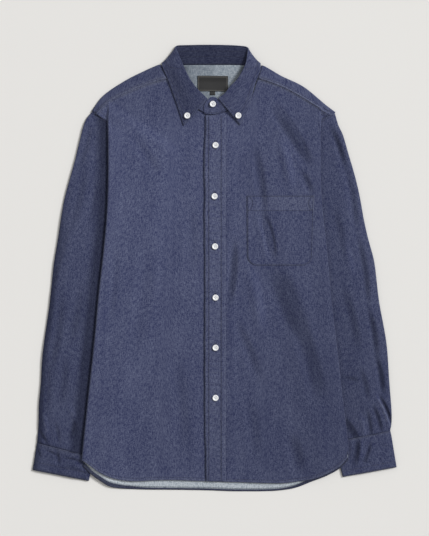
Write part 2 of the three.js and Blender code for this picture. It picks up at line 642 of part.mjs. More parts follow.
function fallSection(k) {
  const { row, roll, up, out } = collarFrame(k);
  const edge = new THREE.Vector3(row.edgeX, row.edgeY, row.edgeZ);
  const turned = fallTurns.map((angle) => {
    const turn = (angle * Math.PI) / 180;
    const spot = roll.clone().addScaledVector(out, collarTurn * (1 - Math.cos(turn)));
    return spot.addScaledVector(up, collarTurn * Math.sin(turn));
  });
  const from = turned[turned.length - 1];
  const swell = 1.4 * ease(7, 12, row.rollZ);
  const down = shares(5).slice(1).map((t) => {
    const spot = from.clone().lerp(edge, t);
    return spot.setZ(spot.z + swell * Math.sin(Math.PI * Math.min(1, t * 1.3)));
  });
  return [...turned, ...down];
}

const collarNumbers = collarRows.map((_, k) => k);
add("collar_stand", wall([...collarNumbers.map(standSection), ...standEnd.map(standEndSection)]), denim);
add("collar_fall", wall(collarNumbers.map(fallSection)), denim);

// The label and its size tab lie on the yoke inside the neck
function patch(name, left, right, top, bottom, material) {
  const grid = [top, bottom].map((y) => [left, right].map((x) => new THREE.Vector3(x, y, 0)));
  const clear = Math.max(...[top, bottom].map((y) => backLevel(0, y))) + clothWall / 2 + 0.3 + 0.5;
  for (const row of grid) for (const spot of row) spot.z = clear;
  add(name, wall(grid, 1), material);
}
patch("label", -30.6, 24.4, 346.7, 319, labelCloth);
patch("size_tab", -8.5, 1.3, 318.6, 311.8, labelCloth);

// Buttons: a disc with a raised rim round a shallow dish, held just above the cloth by its thread
const buttonProfile = [
  [0, 0],
  [buttonRadius - 0.6, 0],
  [buttonRadius, 0.7],
  [buttonRadius - 0.3, buttonHeight - 0.3],
  [buttonRadius - 1, buttonHeight],
  [buttonRadius - 2, buttonHeight - 0.7],
  [0, buttonHeight - 0.8],
].map(([radius, height]) => new THREE.Vector2(radius, height));

const buttonPlaces = [
  { name: "button_stand", x: -3.1, y: 294.8, z: 11 },
  { name: "button_placket_1", x: 1.8, y: 221.4 },
  { name: "button_placket_2", x: 0, y: 129.6 },
  { name: "button_placket_3", x: 0.9, y: 39.6 },
  { name: "button_placket_4", x: 1.8, y: -52.2 },
  { name: "button_placket_5", x: 1.8, y: -142.2 },
  { name: "button_placket_6", x: 1.8, y: -232.2 },
  { name: "button_collar_right", x: -49.1, y: 274.3, z: 8.25 },
  { name: "button_collar_left", x: 42.7, y: 274.3, z: 9.2 },
];
for (const place of buttonPlaces) {
  const disc = new THREE.LatheGeometry(buttonProfile, 12);
  disc.rotateX(Math.PI / 2);
  const onPlacket = frontLevel(1, place.x, place.y) + layerRise + 0.1 + clothWall / 2 + 0.3;
  const button = add(place.name, disc, buttonWhite);
  button.position.set(place.x, place.y, place.z ?? onPlacket);
}

export default shirt;
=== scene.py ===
import math

import bpy
import numpy as np
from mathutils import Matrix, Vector
from mathutils.bvhtree import BVHTree


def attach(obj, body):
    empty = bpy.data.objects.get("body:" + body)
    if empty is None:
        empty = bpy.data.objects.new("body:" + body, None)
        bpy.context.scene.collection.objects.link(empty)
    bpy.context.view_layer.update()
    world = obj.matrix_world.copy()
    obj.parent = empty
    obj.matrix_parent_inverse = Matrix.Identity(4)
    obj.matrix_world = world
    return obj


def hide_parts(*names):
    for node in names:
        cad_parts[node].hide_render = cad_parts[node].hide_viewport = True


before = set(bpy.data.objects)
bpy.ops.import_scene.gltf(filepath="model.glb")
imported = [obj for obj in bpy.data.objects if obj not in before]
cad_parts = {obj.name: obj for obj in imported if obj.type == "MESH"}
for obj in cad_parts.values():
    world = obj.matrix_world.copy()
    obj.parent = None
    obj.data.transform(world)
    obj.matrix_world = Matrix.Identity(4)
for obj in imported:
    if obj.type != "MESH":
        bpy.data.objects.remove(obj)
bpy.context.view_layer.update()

# Denim shirt laid flat. Lengths are in millimetres until a mesh is made, which is in metres.
# Right and left are the wearer's, so the wearer's right lies at -X.
mm = 0.001

view = {
    "imageWidth": 429,
    "imageHeight": 536,
    "mmPerPixel": 1.8,
    "height": 2600.0,        # of the camera over the table
    "middle": (0.0, 0.9),    # what the middle of the picture looks at
}

cloth = {
    "wall": 1.0,             # thickness of one layer as shown
    "lowest": 0.6,           # middle of the layer that lies on the table
    "frontRise": 2.5,        # from the back's middle to the fronts'
    "frontLeast": 1.3,       # and the least it comes down to in a trough
    "layerRise": 1.5,        # from one layer to the next
    "sleeveHeight": 3.3,
    "cuffHeight": 4.2,
    "collarTurn": 0.9,
    "curlRadius": 2.6,       # the roll at the body's sides
    "sideLift": 2.6,         # how much higher the fronts stand along their sides
}

# the body's sides, and how far a sleeve is tucked in under them
bodySides = {
    "y":     [302, 270, 182, 106, 43, -45, -102, -166, -221, -304, -346],
    "right": [-196, -192.6, -190.8, -192.8, -198, -207.9, -213.1, -219.6, -225.7, -234.5, -238.5],
    "left":  [194, 191.5, 190.8, 193.9, 201, 209, 215.3, 223, 229, 239, 243],
    "tuck":  [60, 74, 66, 57, 50, 40, 36, 30, 25, 18, 16],
}

# the hems of the fronts and the back, across the shirt
hems = {
    "x":     [-238.5, -224, -209, -194, -174, -145, -91, -15, 47, 117, 147, 175, 204.5, 227, 243],
    "front": [-343.4, -353.4, -364.8, -372.6, -379, -382.3, -380.2, -382.3,
              -384.3, -386.1, -382.7, -378, -365.2, -349.6, -327.5],
    "back":  [-357, -371.5, -382, -391, -395.3, -397, -397.8, -398.8,
              -400.6, -399, -394, -383, -371, -357.6, -341],
}

# the shoulders' ridge and the yoke's front seam, from the armhole to the neck
shoulders = {
    -1: {
        "at":     [0, 0.25, 0.5, 0.75, 0.9, 0.96, 1],
        "ridgeX": [-221.5, -200, -163, -128, -104, -98, -90],
        "ridgeY": [283, 311, 336.5, 354.5, 365, 366.5, 362],
        "seamX":  [-214, -190, -154, -121, -98, -90, -84],
        "seamY":  [278, 301, 319, 332, 339, 341, 342],
    },
    1: {
        "at":     [0, 0.25, 0.5, 0.75, 0.9, 0.96, 1],
        "ridgeX": [217.5, 198, 160, 118, 94.5, 88.5, 84.8],
        "ridgeY": [281, 296, 327, 347.5, 361.3, 364.3, 365.4],
        "seamX":  [210, 190, 146, 114, 90, 83, 78],
        "seamY":  [277, 289, 315.5, 331, 339, 341, 342],
    },
}

# the fronts' necklines, from the yoke seam to the middle
necklines = {
    -1: {"x": [-84, -72, -48, -22, 20], "y": [342, 317, 296, 283, 277]},
    1: {"x": [78, 70, 48, 24, -16.2], "y": [342, 317, 296, 284, 276]},
}


def ease(low, high, value):
    t = np.clip((np.asarray(value, float) - low) / (high - low), 0, 1)
    return t * t * (3 - 2 * t)


def fading(value, reach, start=0.0):
    # 1 up to the start, then down to 0 at the reach
    return 1 - ease(start, reach, value)


def curveAt(keys, values, at):
    # smooth curve through a table's points that doesn't swing past them
    order = np.argsort(keys)
    k = np.asarray(keys, float)[order]
    v = np.asarray(values, float)[order]
    rise = np.diff(v) / np.diff(k)
    slope = np.concatenate([rise[:1], (rise[1:] + rise[:-1]) / 2, rise[-1:]])
    slope[1:-1] = np.where(rise[1:] * rise[:-1] <= 0, 0, slope[1:-1])
    at = np.clip(np.asarray(at, float), k[0], k[-1])
    i = np.clip(np.searchsorted(k, at) - 1, 0, len(k) - 2)
    h = k[i + 1] - k[i]
    t = (at - k[i]) / h
    bend = (2 * t**3 - 3 * t**2 + 1) * v[i] + (t**3 - 2 * t**2 + t) * h * slope[i]
    return bend + (3 * t**2 - 2 * t**3) * v[i + 1] + (t**3 - t**2) * h * slope[i + 1]


def bodyEdge(side, y):
    return curveAt(bodySides["y"], bodySides["right" if side < 0 else "left"], y)


def backLevel(x, y):
    # the back's height: flat on the table, over the sleeves at the sides and over the collar at the neck
    x, y = np.broadcast_arrays(np.asarray(x, float), np.asarray(y, float))
    edge = np.where(x < 0, -bodyEdge(-1, y), bodyEdge(1, y))
    inward = edge - abs(x)
    tuck = curveAt(bodySides["y"], bodySides["tuck"], y)
    armhole = 280 + 0.66 * (abs(x) - 218)
    outside = ease(190.5, 196, abs(x)) * ease(258, 264, y)
    overSleeve = (1 - ease(tuck + 18, tuck + 76, inward)) * (1 - ease(armhole + 18, armhole + 44, y))
    under = cloth["sleeveHeight"] + (cloth["cuffHeight"] - cloth["sleeveHeight"]) * (1 - ease(-300, -280, y))
    overCollar = ease(334, 346, y) * (1 - ease(98, 122, abs(x)))
    raised = (under + 0.5) * overSleeve * (1 - outside)
    return cloth["lowest"] + raised + 2 * cloth["collarTurn"] * overCollar


def foldDrop(folds, x, y):
    # how far soft troughs take the cloth down at a place, ridges being troughs with a minus
    drop = np.zeros(np.broadcast(x, y).shape)
    for x1, y1, x2, y2, half, depth in folds:
        dx, dy = x2 - x1, y2 - y1
        length = math.hypot(dx, dy)
        along = ((x - x1) * dx + (y - y1) * dy) / length
        bow = 0.03 * length * np.sin(np.pi * np.clip(along / length, 0, 1))
        off = abs(((x - x1) * dy - (y - y1) * dx) / length + bow)
        ends = ease(-10, length * 0.35, along) * (1 - ease(length * 0.65, length + 10, along))
        drop += depth * ends * (1 - ease(0, half, off))
    return drop


# direction, stretch and phase of each slow wave
slowWaves = [(0.3, 1, 0.4), (1.4, 0.63, 2.1), (2.5, 0.47, 4.4), (0.9, 0.33, 1.2)]


def unevenness(x, y, size, height, turn=0.0):
    # slow waves that keep a panel from lying dead flat, the same on every run
    wave = np.zeros(np.broadcast(x, y).shape)
    for k, (angle, stretch, phase) in enumerate(slowWaves):
        across = x * math.cos(angle + turn) + y * math.sin(angle + turn)
        wave += np.sin(across * 2 * math.pi / (size * stretch) + phase + turn * (k + 1)) * stretch
    return wave * height / 2.4


# Meshes. A grid's outer side faces up where its columns run to +X and its rows to -Y.


def outwardNormals(grid, closed=False):
    if closed:
        across = np.roll(grid, -1, axis=1) - np.roll(grid, 1, axis=1)
    else:
        across = np.gradient(grid, axis=1)
    down = np.gradient(grid, axis=0)
    n = np.cross(down, across)
    return n / np.maximum(np.linalg.norm(n, axis=2, keepdims=True), 1e-9)


def gridFaces(rows, columns, start, closed=False, turned=False, left=None):
    i, j = np.mgrid[0:rows - 1, 0:columns if closed else columns - 1]
    if left is not None:
        keep = ~left[i, j]
        i, j = i[keep], j[keep]
    i, j = i.ravel(), j.ravel()
    k = (j + 1) % columns
    faces = np.stack([i * columns + j, (i + 1) * columns + j, (i + 1) * columns + k, i * columns + k], 1) + start
    return faces[:, ::-1] if turned else faces


def makeObject(name, points, faces, materials, slots=None, smooth=True, fields=None):
    mesh = bpy.data.meshes.new(name)
    mesh.vertices.add(len(points))
    mesh.vertices.foreach_set("co", (np.asarray(points) * mm).astype(np.float32).ravel())
    sizes = np.array([len(f) for f in faces])
    mesh.loops.add(int(sizes.sum()))
    mesh.loops.foreach_set("vertex_index", np.concatenate([np.asarray(f) for f in faces]).astype(np.int32))
    mesh.polygons.add(len(faces))
    mesh.polygons.foreach_set("loop_start", (np.cumsum(sizes) - sizes).astype(np.int32))
    for material in materials:
        mesh.materials.append(material)
    if slots is not None:
        mesh.polygons.foreach_set("material_index", np.asarray(slots, np.int32))
    mesh.update(calc_edges=True)
    mesh.polygons.foreach_set("use_smooth", np.full(len(faces), smooth))
    for field, values in (fields or {}).items():
        kind = "FLOAT_VECTOR" if values.ndim == 2 else "FLOAT"
        data = mesh.attributes.new(field, kind, "POINT").data
        data.foreach_set("vector" if values.ndim == 2 else "value", values.astype(np.float32).ravel())
    made = bpy.data.objects.new(name, mesh)
    bpy.context.collection.objects.link(made)
    return made


def walked(grid, axis):
    # how far along the cloth each point lies from the grid's first row or column
    steps = np.linalg.norm(np.diff(grid, axis=axis), axis=2)
    return np.concatenate([np.zeros_like(steps.take([0], axis)), np.cumsum(steps, axis=axis)], axis)


def openEdges(faces):
    # the edges that belong to one face alone
    edges = {}
    for face in faces:
        for a, b in zip(face, np.roll(face, -1)):
            if (b, a) in edges:
                del edges[(b, a)]
            else:
                edges[(a, b)] = True
    return list(edges)


def sheetObject(name, grid, materials, wall=None, closed=False, left=None, band=None, **looks):
    # a closed wall round a grid of middle points, which keeps how its threads run;
    # looks are the shares at the grid's points of wear with painted highlight, of seam puckers, and of deeper dye with
    # painted shade
    wall = cloth["wall"] if wall is None else wall
    rows, columns = grid.shape[:2]
    count = rows * columns
    offset = outwardNormals(grid, closed) * wall / 2
    points = np.concatenate([(grid + offset).reshape(-1, 3), (grid - offset).reshape(-1, 3)])
    top = gridFaces(rows, columns, 0, closed, False, left)
    bottom = gridFaces(rows, columns, count, closed, True, left)
    rim = np.array([[b, a, a + count, b + count] for a, b in openEdges(top)])
    faces = np.concatenate([top, bottom, rim])
    slots = np.concatenate([np.zeros(len(top)), np.ones(len(bottom)), np.zeros(len(rim))])
    if band is not None:
        # a turned edge shows the other side of the cloth
        slots[:len(top)] = band.ravel()[top[:, 0]]
        slots[len(top) + len(bottom):] = 1
    across, along = walked(grid, 1), walked(grid, 0)
    across = across - across[:, columns // 2:columns // 2 + 1]
    weave = np.stack([across, along, np.zeros_like(along)], 2).reshape(-1, 3) * mm
    fields = {"weave": np.concatenate([weave, weave + [0.31, 0.17, 0]])}
    for key in ("dye", "worn", "seam"):
        values = np.clip(looks.get(key, np.zeros((rows, columns))), 0, 1).ravel()
        fields[key] = np.concatenate([values, values * (key != "worn")])
    used = np.unique(faces)
    renumber = np.full(len(points), -1)
    renumber[used] = np.arange(len(used))
    fields = {key: values[used] for key, values in fields.items()}
    slots = slots if len(materials) > 1 else None
    return makeObject(name, points[used], renumber[faces], materials, slots, True, fields)


# Materials


def newMaterial(name):
    material = bpy.data.materials.new(name)
    material.use_nodes = True
    nodes, links = material.node_tree.nodes, material.node_tree.links
    return material, nodes, links, nodes["Principled BSDF"]


def mathNode(nodes, links, operation, first, second):
    node = nodes.new("ShaderNodeMath")
    node.operation = operation
    for socket, value in zip(node.inputs, (first, second)):
        if isinstance(value, (int, float)):
            socket.default_value = value
        else:
            links.new(value, socket)
    return node.outputs[0]


def mixColour(nodes, links, share, first, second):
    node = nodes.new("ShaderNodeMix")
    node.data_type = "RGBA"
    for key, value in (("Factor", share), ("A", first), ("B", second)):
        socket = node.inputs[key]
        if isinstance(value, (int, float)):
            socket.default_value = value
        elif isinstance(value, (tuple, list)):
            socket.default_value = (*value, 1)
        else:
            links.new(value, socket)
    return node.outputs["Result"]


def noiseOn(nodes, links, vector, stretch, detail=2.0, rough=0.5):
    scale = nodes.new("ShaderNodeVectorMath")
    scale.operation = "MULTIPLY"
    links.new(vector, scale.inputs[0])
    scale.inputs[1].default_value = stretch
    noise = nodes.new("ShaderNodeTexNoise")
    noise.inputs["Scale"].default_value = 1
    noise.inputs["Detail"].default_value = detail
    noise.inputs["Roughness"].default_value = rough
    links.new(scale.outputs[0], noise.inputs["Vector"])
    return noise.outputs["Fac"]


def stretched(nodes, links, value, low, high, to=1.0):
    node = nodes.new("ShaderNodeMapRange")
    node.inputs["From Min"].default_value = low
    node.inputs["From Max"].default_value = high
    node.inputs["To Max"].default_value = to
    links.new(value, node.inputs["Value"])
    return node.outputs["Result"]


denimLook = {
    "deep": (0.018, 0.024, 0.082),       # between the flecks
    "middle": (0.050, 0.060, 0.140),
    "light": (0.138, 0.156, 0.245),      # where the pale weft shows
    "wornAndLitTint": (0.165, 0.182, 0.265),
    "dyed": 0.30,                        # how dark the deepest dye and painted shade are beside the rest
    "twillMm": 1.1,                      # between two twill lines
    "roughness": 0.9,
    "bumpMm": 0.55,
}


def denimMaterial(name, deep, middle, light, worn):
    # flecks along and across the weave, slow patches, twill lines, worn places with painted highlights, deeper dye with
    # painted shade, and puckered seams
    material, nodes, links, shader = newMaterial(name)

    def field(name):
        node = nodes.new("ShaderNodeAttribute")
        node.attribute_name = name
        return node

    def maths(operation, first, second):
        return mathNode(nodes, links, operation, first, second)

    weave = field("weave").outputs["Vector"]
    upright = noiseOn(nodes, links, weave, (520, 140, 1), 2, 0.6)
    level = noiseOn(nodes, links, weave, (150, 560, 1), 2, 0.6)
    fine = noiseOn(nodes, links, weave, (640, 520, 1), 1, 0.5)
    streak = noiseOn(nodes, links, weave, (95, 11, 1), 2, 0.55)
    cloud = noiseOn(nodes, links, weave, (19, 13, 1), 3, 0.55)
    parts = nodes.new("ShaderNodeSeparateXYZ")
    links.new(weave, parts.inputs[0])
    slant = maths("ADD", parts.outputs[0], maths("MULTIPLY", parts.outputs[1], 0.75))
    twill = maths("SINE", maths("MULTIPLY", slant, 2 * math.pi / (denimLook["twillMm"] * mm)), 0)
    fleck = maths("ADD", maths("MULTIPLY", upright, 0.42), maths("MULTIPLY", level, 0.26))
    fleck = maths("ADD", fleck, maths("MULTIPLY", fine, 0.32))
    fleck = maths("ADD", fleck, maths("MULTIPLY", twill, 0.012))
    base = mixColour(nodes, links, stretched(nodes, links, fleck, 0.42, 0.585), deep, light)
    base = mixColour(nodes, links, 0.24, base, middle)
    base = mixColour(nodes, links, stretched(nodes, links, streak, 0.40, 0.70, 0.26), base, deep)
    base = mixColour(nodes, links, stretched(nodes, links, cloud, 0.42, 0.70, 0.13), base, light)
    base = mixColour(nodes, links, stretched(nodes, links, cloud, 0.58, 0.30, 0.13), base, deep)
    # paler where the cloth is worn, and painted highlight on lit fold ridges and on the back's shaded hem strip
    rubbedAndLit = maths("MULTIPLY", field("worn").outputs["Fac"], stretched(nodes, links, fleck, 0.36, 0.56))
    base = mixColour(nodes, links, rubbedAndLit, base, worn)
    # darker where the dye-and-shade field is set: deeper dye in places, and painted shade in troughs, beside raised
    # edges and on sides turned from the light
    shade = nodes.new("ShaderNodeMix")
    shade.data_type = "RGBA"
    shade.blend_type = "MULTIPLY"
    links.new(field("dye").outputs["Fac"], shade.inputs["Factor"])
    links.new(base, shade.inputs["A"])
    shade.inputs["B"].default_value = (*(denimLook["dyed"] * c for c in (0.93, 0.97, 1.1)), 1)
    links.new(shade.outputs["Result"], shader.inputs["Base Color"])
    shader.inputs["Roughness"].default_value = denimLook["roughness"]
    shader.inputs["Sheen Weight"].default_value = 0.06
    shader.inputs["Sheen Roughness"].default_value = 0.5
    shader.inputs["Specular IOR Level"].default_value = 0.2
    puckers = noiseOn(nodes, links, weave, (150, 150, 1), 2, 0.5)
    crumple = maths("MULTIPLY", puckers, field("seam").outputs["Fac"])
    height = maths("ADD", maths("MULTIPLY", fleck, 0.8), maths("MULTIPLY", twill, 0.03))
    height = maths("ADD", height, maths("MULTIPLY", crumple, 2.6))
    bump = nodes.new("ShaderNodeBump")
    bump.inputs["Strength"].default_value = 0.6
    bump.inputs["Distance"].default_value = denimLook["bumpMm"] * mm
    links.new(height, bump.inputs["Height"])
    links.new(bump.outputs["Normal"], shader.inputs["Normal"])
    return material


def plainMaterial(name, colour, roughness, speckle, stretch, bumpMm=0.1, sheen=0.0):
    material, nodes, links, shader = newMaterial(name)
    place = nodes.new("ShaderNodeTexCoord").outputs["Object"]
    grain = noiseOn(nodes, links, place, stretch, 3, 0.6)
    pale = tuple(min(1, c * (1 + speckle)) for c in colour)
    dark = tuple(c * (1 - speckle) for c in colour)
    tone = mixColour(nodes, links, stretched(nodes, links, grain, 0.3, 0.7), dark, pale)
    links.new(tone, shader.inputs["Base Color"])
    shader.inputs["Roughness"].default_value = roughness
    shader.inputs["Sheen Weight"].default_value = sheen
    bump = nodes.new("ShaderNodeBump")
    bump.inputs["Strength"].default_value = 0.4
    bump.inputs["Distance"].default_value = bumpMm * mm
    links.new(grain, bump.inputs["Height"])
    links.new(bump.outputs["Normal"], shader.inputs["Normal"])
    return material


denim = denimMaterial("washed denim", *(denimLook[key] for key in ("deep", "middle", "light", "wornAndLitTint")))
denimInside = denimMaterial(
    "denim wrong side", (0.175, 0.215, 0.265), (0.255, 0.295, 0.345), (0.44, 0.485, 0.53), (0.55, 0.59, 0.63))
labelCloth = plainMaterial("black woven label", (0.012, 0.012, 0.013), 0.55, 0.35, (2600, 700, 1), 0.15)
labelEdge = plainMaterial("grey label edge", (0.10, 0.095, 0.085), 0.6, 0.3, (2600, 2600, 1), 0.1)
buttonWhite = plainMaterial("white button", (0.80, 0.81, 0.83), 0.28, 0.03, (300, 300, 300), 0.02)
threadNavy = plainMaterial("navy thread", (0.014, 0.017, 0.045), 0.6, 0.25, (3000, 3000, 3000), 0.05, 0.1)
threadWhite = plainMaterial("white thread", (0.62, 0.63, 0.65), 0.6, 0.1, (3000, 3000, 3000), 0.05)
print("materials made")


# The fronts

fronts = {
    "columns": 72,
    "rows": 236,
    "hemWidth": 7.0,         # the turned hem, which stands a little higher
    "hemRise": 0.3,
    "foldDepth": 3.8,        # times the troughs' depths below
    "foldLift": 1.9,         # how far the cloth between the troughs stands up
    "folds": [
        (103, 293, 171, 181, 16, 1.6), (156, 172, 172, 136, 10, 0.9), (72, 214, 86, 92, 12, 0.9),
        (85, 98, 104, 18, 13, 1.7), (102, 2, 152, -130, 30, 1.3), (142, -80, 190, -250, 21, 1.1),
        (34, 52, 23, -70, 10, 1.7), (36, -94, 80, -204, 13, 0.6), (136, -300, 152, -366, 17, 0.8),
        (118, 232, 138, 140, 14, -0.8), (60, 10, 84, -120, 16, -0.7),
        (-43, 122, -40, -22, 20, 0.4), (-120, 60, -150, -180, 22, 0.4), (-150, 240, -100, 165, 14, 0.35),
        (-70, -150, -60, -340, 18, 0.4), (-178, 60, -196, -120, 11, 0.3), (60, -230, 72, -350, 16, 0.4),
    ],
}
curlAngles = [-40, -15, 5, 20, 35, 50, 65, 78, 90]


def frontLevel(side, x, y):
    lap = cloth["layerRise"] * (1 - ease(24, 44, x)) if side > 0 else 0
    drop = fronts["foldDepth"] * foldDrop(fronts["folds"], x, y) + unevenness(x, y, 190, 0.7, side)
    drop = drop - fronts["foldLift"] * (1 - ease(200, 246, y))
    inward = abs(bodyEdge(np.sign(side), y)) - abs(x)
    calm = ease(8, 40, abs(x - 1.8)) * (0.35 + 0.65 * ease(0, 30, inward))
    lift = cloth["sideLift"] * (1 - ease(2, 34, inward)) * (1 - ease(240, 262, y))
    over = cloth["frontRise"] + lap + lift - drop * calm - cloth["frontLeast"]
    return backLevel(x, y) + cloth["frontLeast"] + (over + np.sqrt(over ** 2 + 0.3)) / 2


frontEdges = {
    -1: {"middle": 19.5, "armX": 214, "armY": 278, "cornerY": 262.8, "bottom": -345},
    1: {"middle": -16.2, "armX": 210, "armY": 277, "cornerY": 266, "bottom": -332},
}


def topEdge(side, x):
    seam, neck = shoulders[side], necklines[side]
    onSeam = side * np.asarray(x) >= abs(neck["x"][0])
    return np.where(onSeam, curveAt(seam["seamX"], seam["seamY"], x), curveAt(neck["x"], neck["y"], x))


def frontGrid(side):
    # rows from the yoke seam and neckline down to the hem, columns from the rolled side to the middle
    edges = frontEdges[side]
    middle, armX, armY, cornerY = (edges[key] for key in ("middle", "armX", "armY", "cornerY"))
    v = np.concatenate([np.linspace(0, 0.06, 16)[:-1], np.linspace(0.06, 1, fronts["rows"])])
    u = np.concatenate([np.linspace(0.004, 0.05, 5)[:-1], np.linspace(0.05, 1, fronts["columns"])])
    edgeY = armY + v * (edges["bottom"] - armY)
    edge = abs(bodyEdge(side, np.minimum(edgeY, 262)))
    slant = 1 - ease(0, 0.08, v)             # how much of the yoke seam's slant a row keeps
    out = np.clip((edgeY - cornerY) / (armY - cornerY), 0, 1) * (armX - edge)
    depth = 5.2 * (1 - ease(cornerY, armY, edgeY))
    radius = cloth["curlRadius"]
    crestX = side * (edge - radius)
    crestZ = frontLevel(side, crestX, edgeY)
    topAt = edge[0]
    rolled = []
    for angle in curlAngles:
        turn = math.radians(angle)
        share = np.minimum(1, out / 6)
        cornerShare = np.interp(angle, [-40, 0, 30, 60, 90], [1, 0.85, 0.5, 0.08, 0])
        cornerLow = np.interp(angle, [-40, 30, 60, 90], [1, 1, 0.75, 0])
        low = (1 - share) * (1 - math.sin(turn)) / (1 - math.sin(math.radians(-40))) + share * cornerLow
        x = side * (edge - radius * (1 - math.cos(turn)) + out * cornerShare)
        y = edgeY + (topEdge(side, side * (topAt + (armX - topAt) * cornerShare)) - armY) * slant
        rolled.append(np.stack([x, y, crestZ - depth * low], 1))
    topY = topEdge(side, side * (topAt - radius) * (1 - u) + middle * u)
    hemY = curveAt(hems["x"], hems["front"], side * 236 * (1 - u) + middle * u)
    v, edgeY, slant = v[:, None], edgeY[:, None], slant[:, None]
    x = crestX[:, None] * (1 - u) + middle * u
    onEdge = edgeY + (topY - armY) * slant + (hemY - edges["bottom"]) * ease(0.93, 1, v)
    near = np.clip(u / 0.1, 0, 1)            # the first columns are rows of the rolled side too
    y = onEdge * (1 - near) + (topY + v * (hemY - topY)) * near
    z = frontLevel(side, x, y) + np.where((1 - v) * 725 < fronts["hemWidth"], fronts["hemRise"], 0)
    grid = np.concatenate([np.stack(rolled, 1), np.stack([x, y, z], 2)], 1)
    return grid[:, ::-1] if side > 0 else grid


def seamField(grid, lines, reach):
    # 1 on a seam's line, fading to 0 at its reach
    near = np.full(grid.shape[:2], 1e9)
    for x1, y1, x2, y2 in lines:
        dx, dy = x2 - x1, y2 - y1
        t = np.clip(((grid[..., 0] - x1) * dx + (grid[..., 1] - y1) * dy) / (dx * dx + dy * dy), 0, 1)
        near = np.minimum(near, np.hypot(grid[..., 0] - x1 - t * dx, grid[..., 1] - y1 - t * dy))
    return 1 - ease(0, reach, near)


def hemField(grid, width):
    return fading(np.linalg.norm(grid[-1:, :, :2] - grid[..., :2], axis=2), width)


def tableLines(table, xs="x", ys="y"):
    points = list(zip(table[xs], table[ys]))
    return [(*a, *b) for a, b in zip(points, points[1:])]


dressed = {}


def dress(made, *nodes, slot="denim"):
    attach(made, "root")
    if nodes:
        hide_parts(*nodes)
    dressed[made.name] = made


def declareSheet(grid):
    # measures the flat size along the widest row and the longest column, and keeps nothing
    wide, long = walked(grid, 1).max() * mm, walked(grid, 0).max() * mm


def sideShade(grid, right, left):
    # painted shade where a tube's fold turns down to the table, set by the picture's side it faces: more on the side
    # turned from the light
    normals = outwardNormals(grid, True)
    turned = 1 - ease(0.25, 0.9, normals[..., 2])
    return np.where(normals[..., 0] > 0, left, right) * turned


def broadDarkening(x, y, extra=0.0):
    # darker towards the hem and the wearer's left, paler at the chest
    return np.clip(0.02 + 0.20 * ease(-150, 220, x) + 0.22 * ease(220, -380, y) + extra, 0, 1)


rolledEdge = {"x": [191, 191, 198, 213, 226, 238], "y": [250, 182, 43, -102, -221, -340]}
frontGrids = {}
for side, name, node in ((-1, "frontRight", "front_right"), (1, "frontLeft", "front_left")):
    grid = frontGrid(side)
    frontGrids[side] = grid
    x, y = grid[..., 0], grid[..., 1]
    seams = tableLines(shoulders[side], "seamX", "seamY")
    worn = 0.85 * (0.45 + 0.55 * ease(190, 100, abs(x))) * seamField(grid, seams, 8) + 0.55 * hemField(grid, 5)
    if side < 0:
        worn += 0.3 * seamField(grid, [(-a, b, -c, d) for a, b, c, d in tableLines(rolledEdge)], 4)
    fromSide = abs(bodyEdge(side, np.minimum(y, 262))) - abs(x)
    # painted shade in the fold troughs, a little paler on the ridges; darker towards the top on the wearer's right;
    # painted shade where the side rolls down
    dye = broadDarkening(x, y) + 0.29 * np.clip(foldDrop(fronts["folds"], x, y), -0.5, 2)
    dye += 0.16 * ease(230, 300, y) * (side < 0) + 0.22 * fading(fromSide, 4, 0.6) * fading(y, 260, 246)
    made = sheetObject(name, grid, [denim, denimInside], worn=worn, dye=dye,
                       seam=0.8 * seamField(grid, seams, 12) + 0.9 * hemField(grid, 12))
    dress(made, node)
    declareSheet(grid)
print("fronts made")


# The back and the yoke

back = {
    "columns": 130,
    "rows": 190,
    "hemTurn": (2.9, 8.0),   # width of the turned hem that shows inside, in the middle and at the sides
    "bandRows": 4,
    "inset": 3.2,            # how far inside the fronts' roll its sides end
    "wave": 0.25,            # slight waves along the hem
    "folds": [(-60, -372, -40, -398, 9, -0.5), (90, -370, 110, -400, 12, -0.5)],
}


def backGrid():
    u = np.sin(np.linspace(-1, 1, back["columns"]) * math.pi / 2 * 0.86) / math.sin(math.pi / 2 * 0.86)
    v = np.linspace(0, 1, back["rows"])[:, None]
    side = np.where(u < 0, -1, 1)
    edgeY = 268 + v * (-350 - 268)
    edge = np.where(side < 0, -bodyEdge(-1, edgeY), bodyEdge(1, edgeY)) - back["inset"]
    x = u * edge
    hemY = curveAt(hems["x"], hems["back"], u * 240)
    middleTurn, sideTurn = back["hemTurn"]
    turn = middleTurn + (sideTurn - middleTurn) * ease(110, 210, abs(u * 240)) - 2.6 * ease(205, 235, u * 240)
    y = 267.6 + v * (hemY + turn - 267.6)
    band = np.linspace(0, 1, back["bandRows"] + 1)[1:, None]
    x = np.concatenate([x, x[-1] + 0 * band])
    y = np.concatenate([y, hemY + turn * (1 - band)])
    z = backLevel(x, y) + back["wave"] * (1 + np.sin(x / 21 + 1)) * (1 - ease(-395, -330, y))
    z[-len(band):] += 0.3 * np.sin(math.pi * band)
    z -= foldDrop(back["folds"], x, y)
    return np.stack([x, y, z], 2)


grid = backGrid()
hemNear = np.linalg.norm(grid[-1:, :, :2] - grid[..., :2], axis=2)
inBand = (np.arange(len(grid)) >= back["rows"] - 1)[:, None] & np.ones(grid.shape[1], bool)
# the turned hem band gets painted shade, and the inside strip above it painted light, most towards the wearer's right
# corner
backPiece = sheetObject(
    "back", grid, [denimInside, denim], seam=0.9 * fading(hemNear, 12), dye=1.0 * inBand, band=inBand,
    worn=(0.6 + 0.4 * ease(-120, -190, grid[..., 0])) * fading(hemNear, 24, 14))
dress(backPiece, "back_panel")
declareSheet(grid)

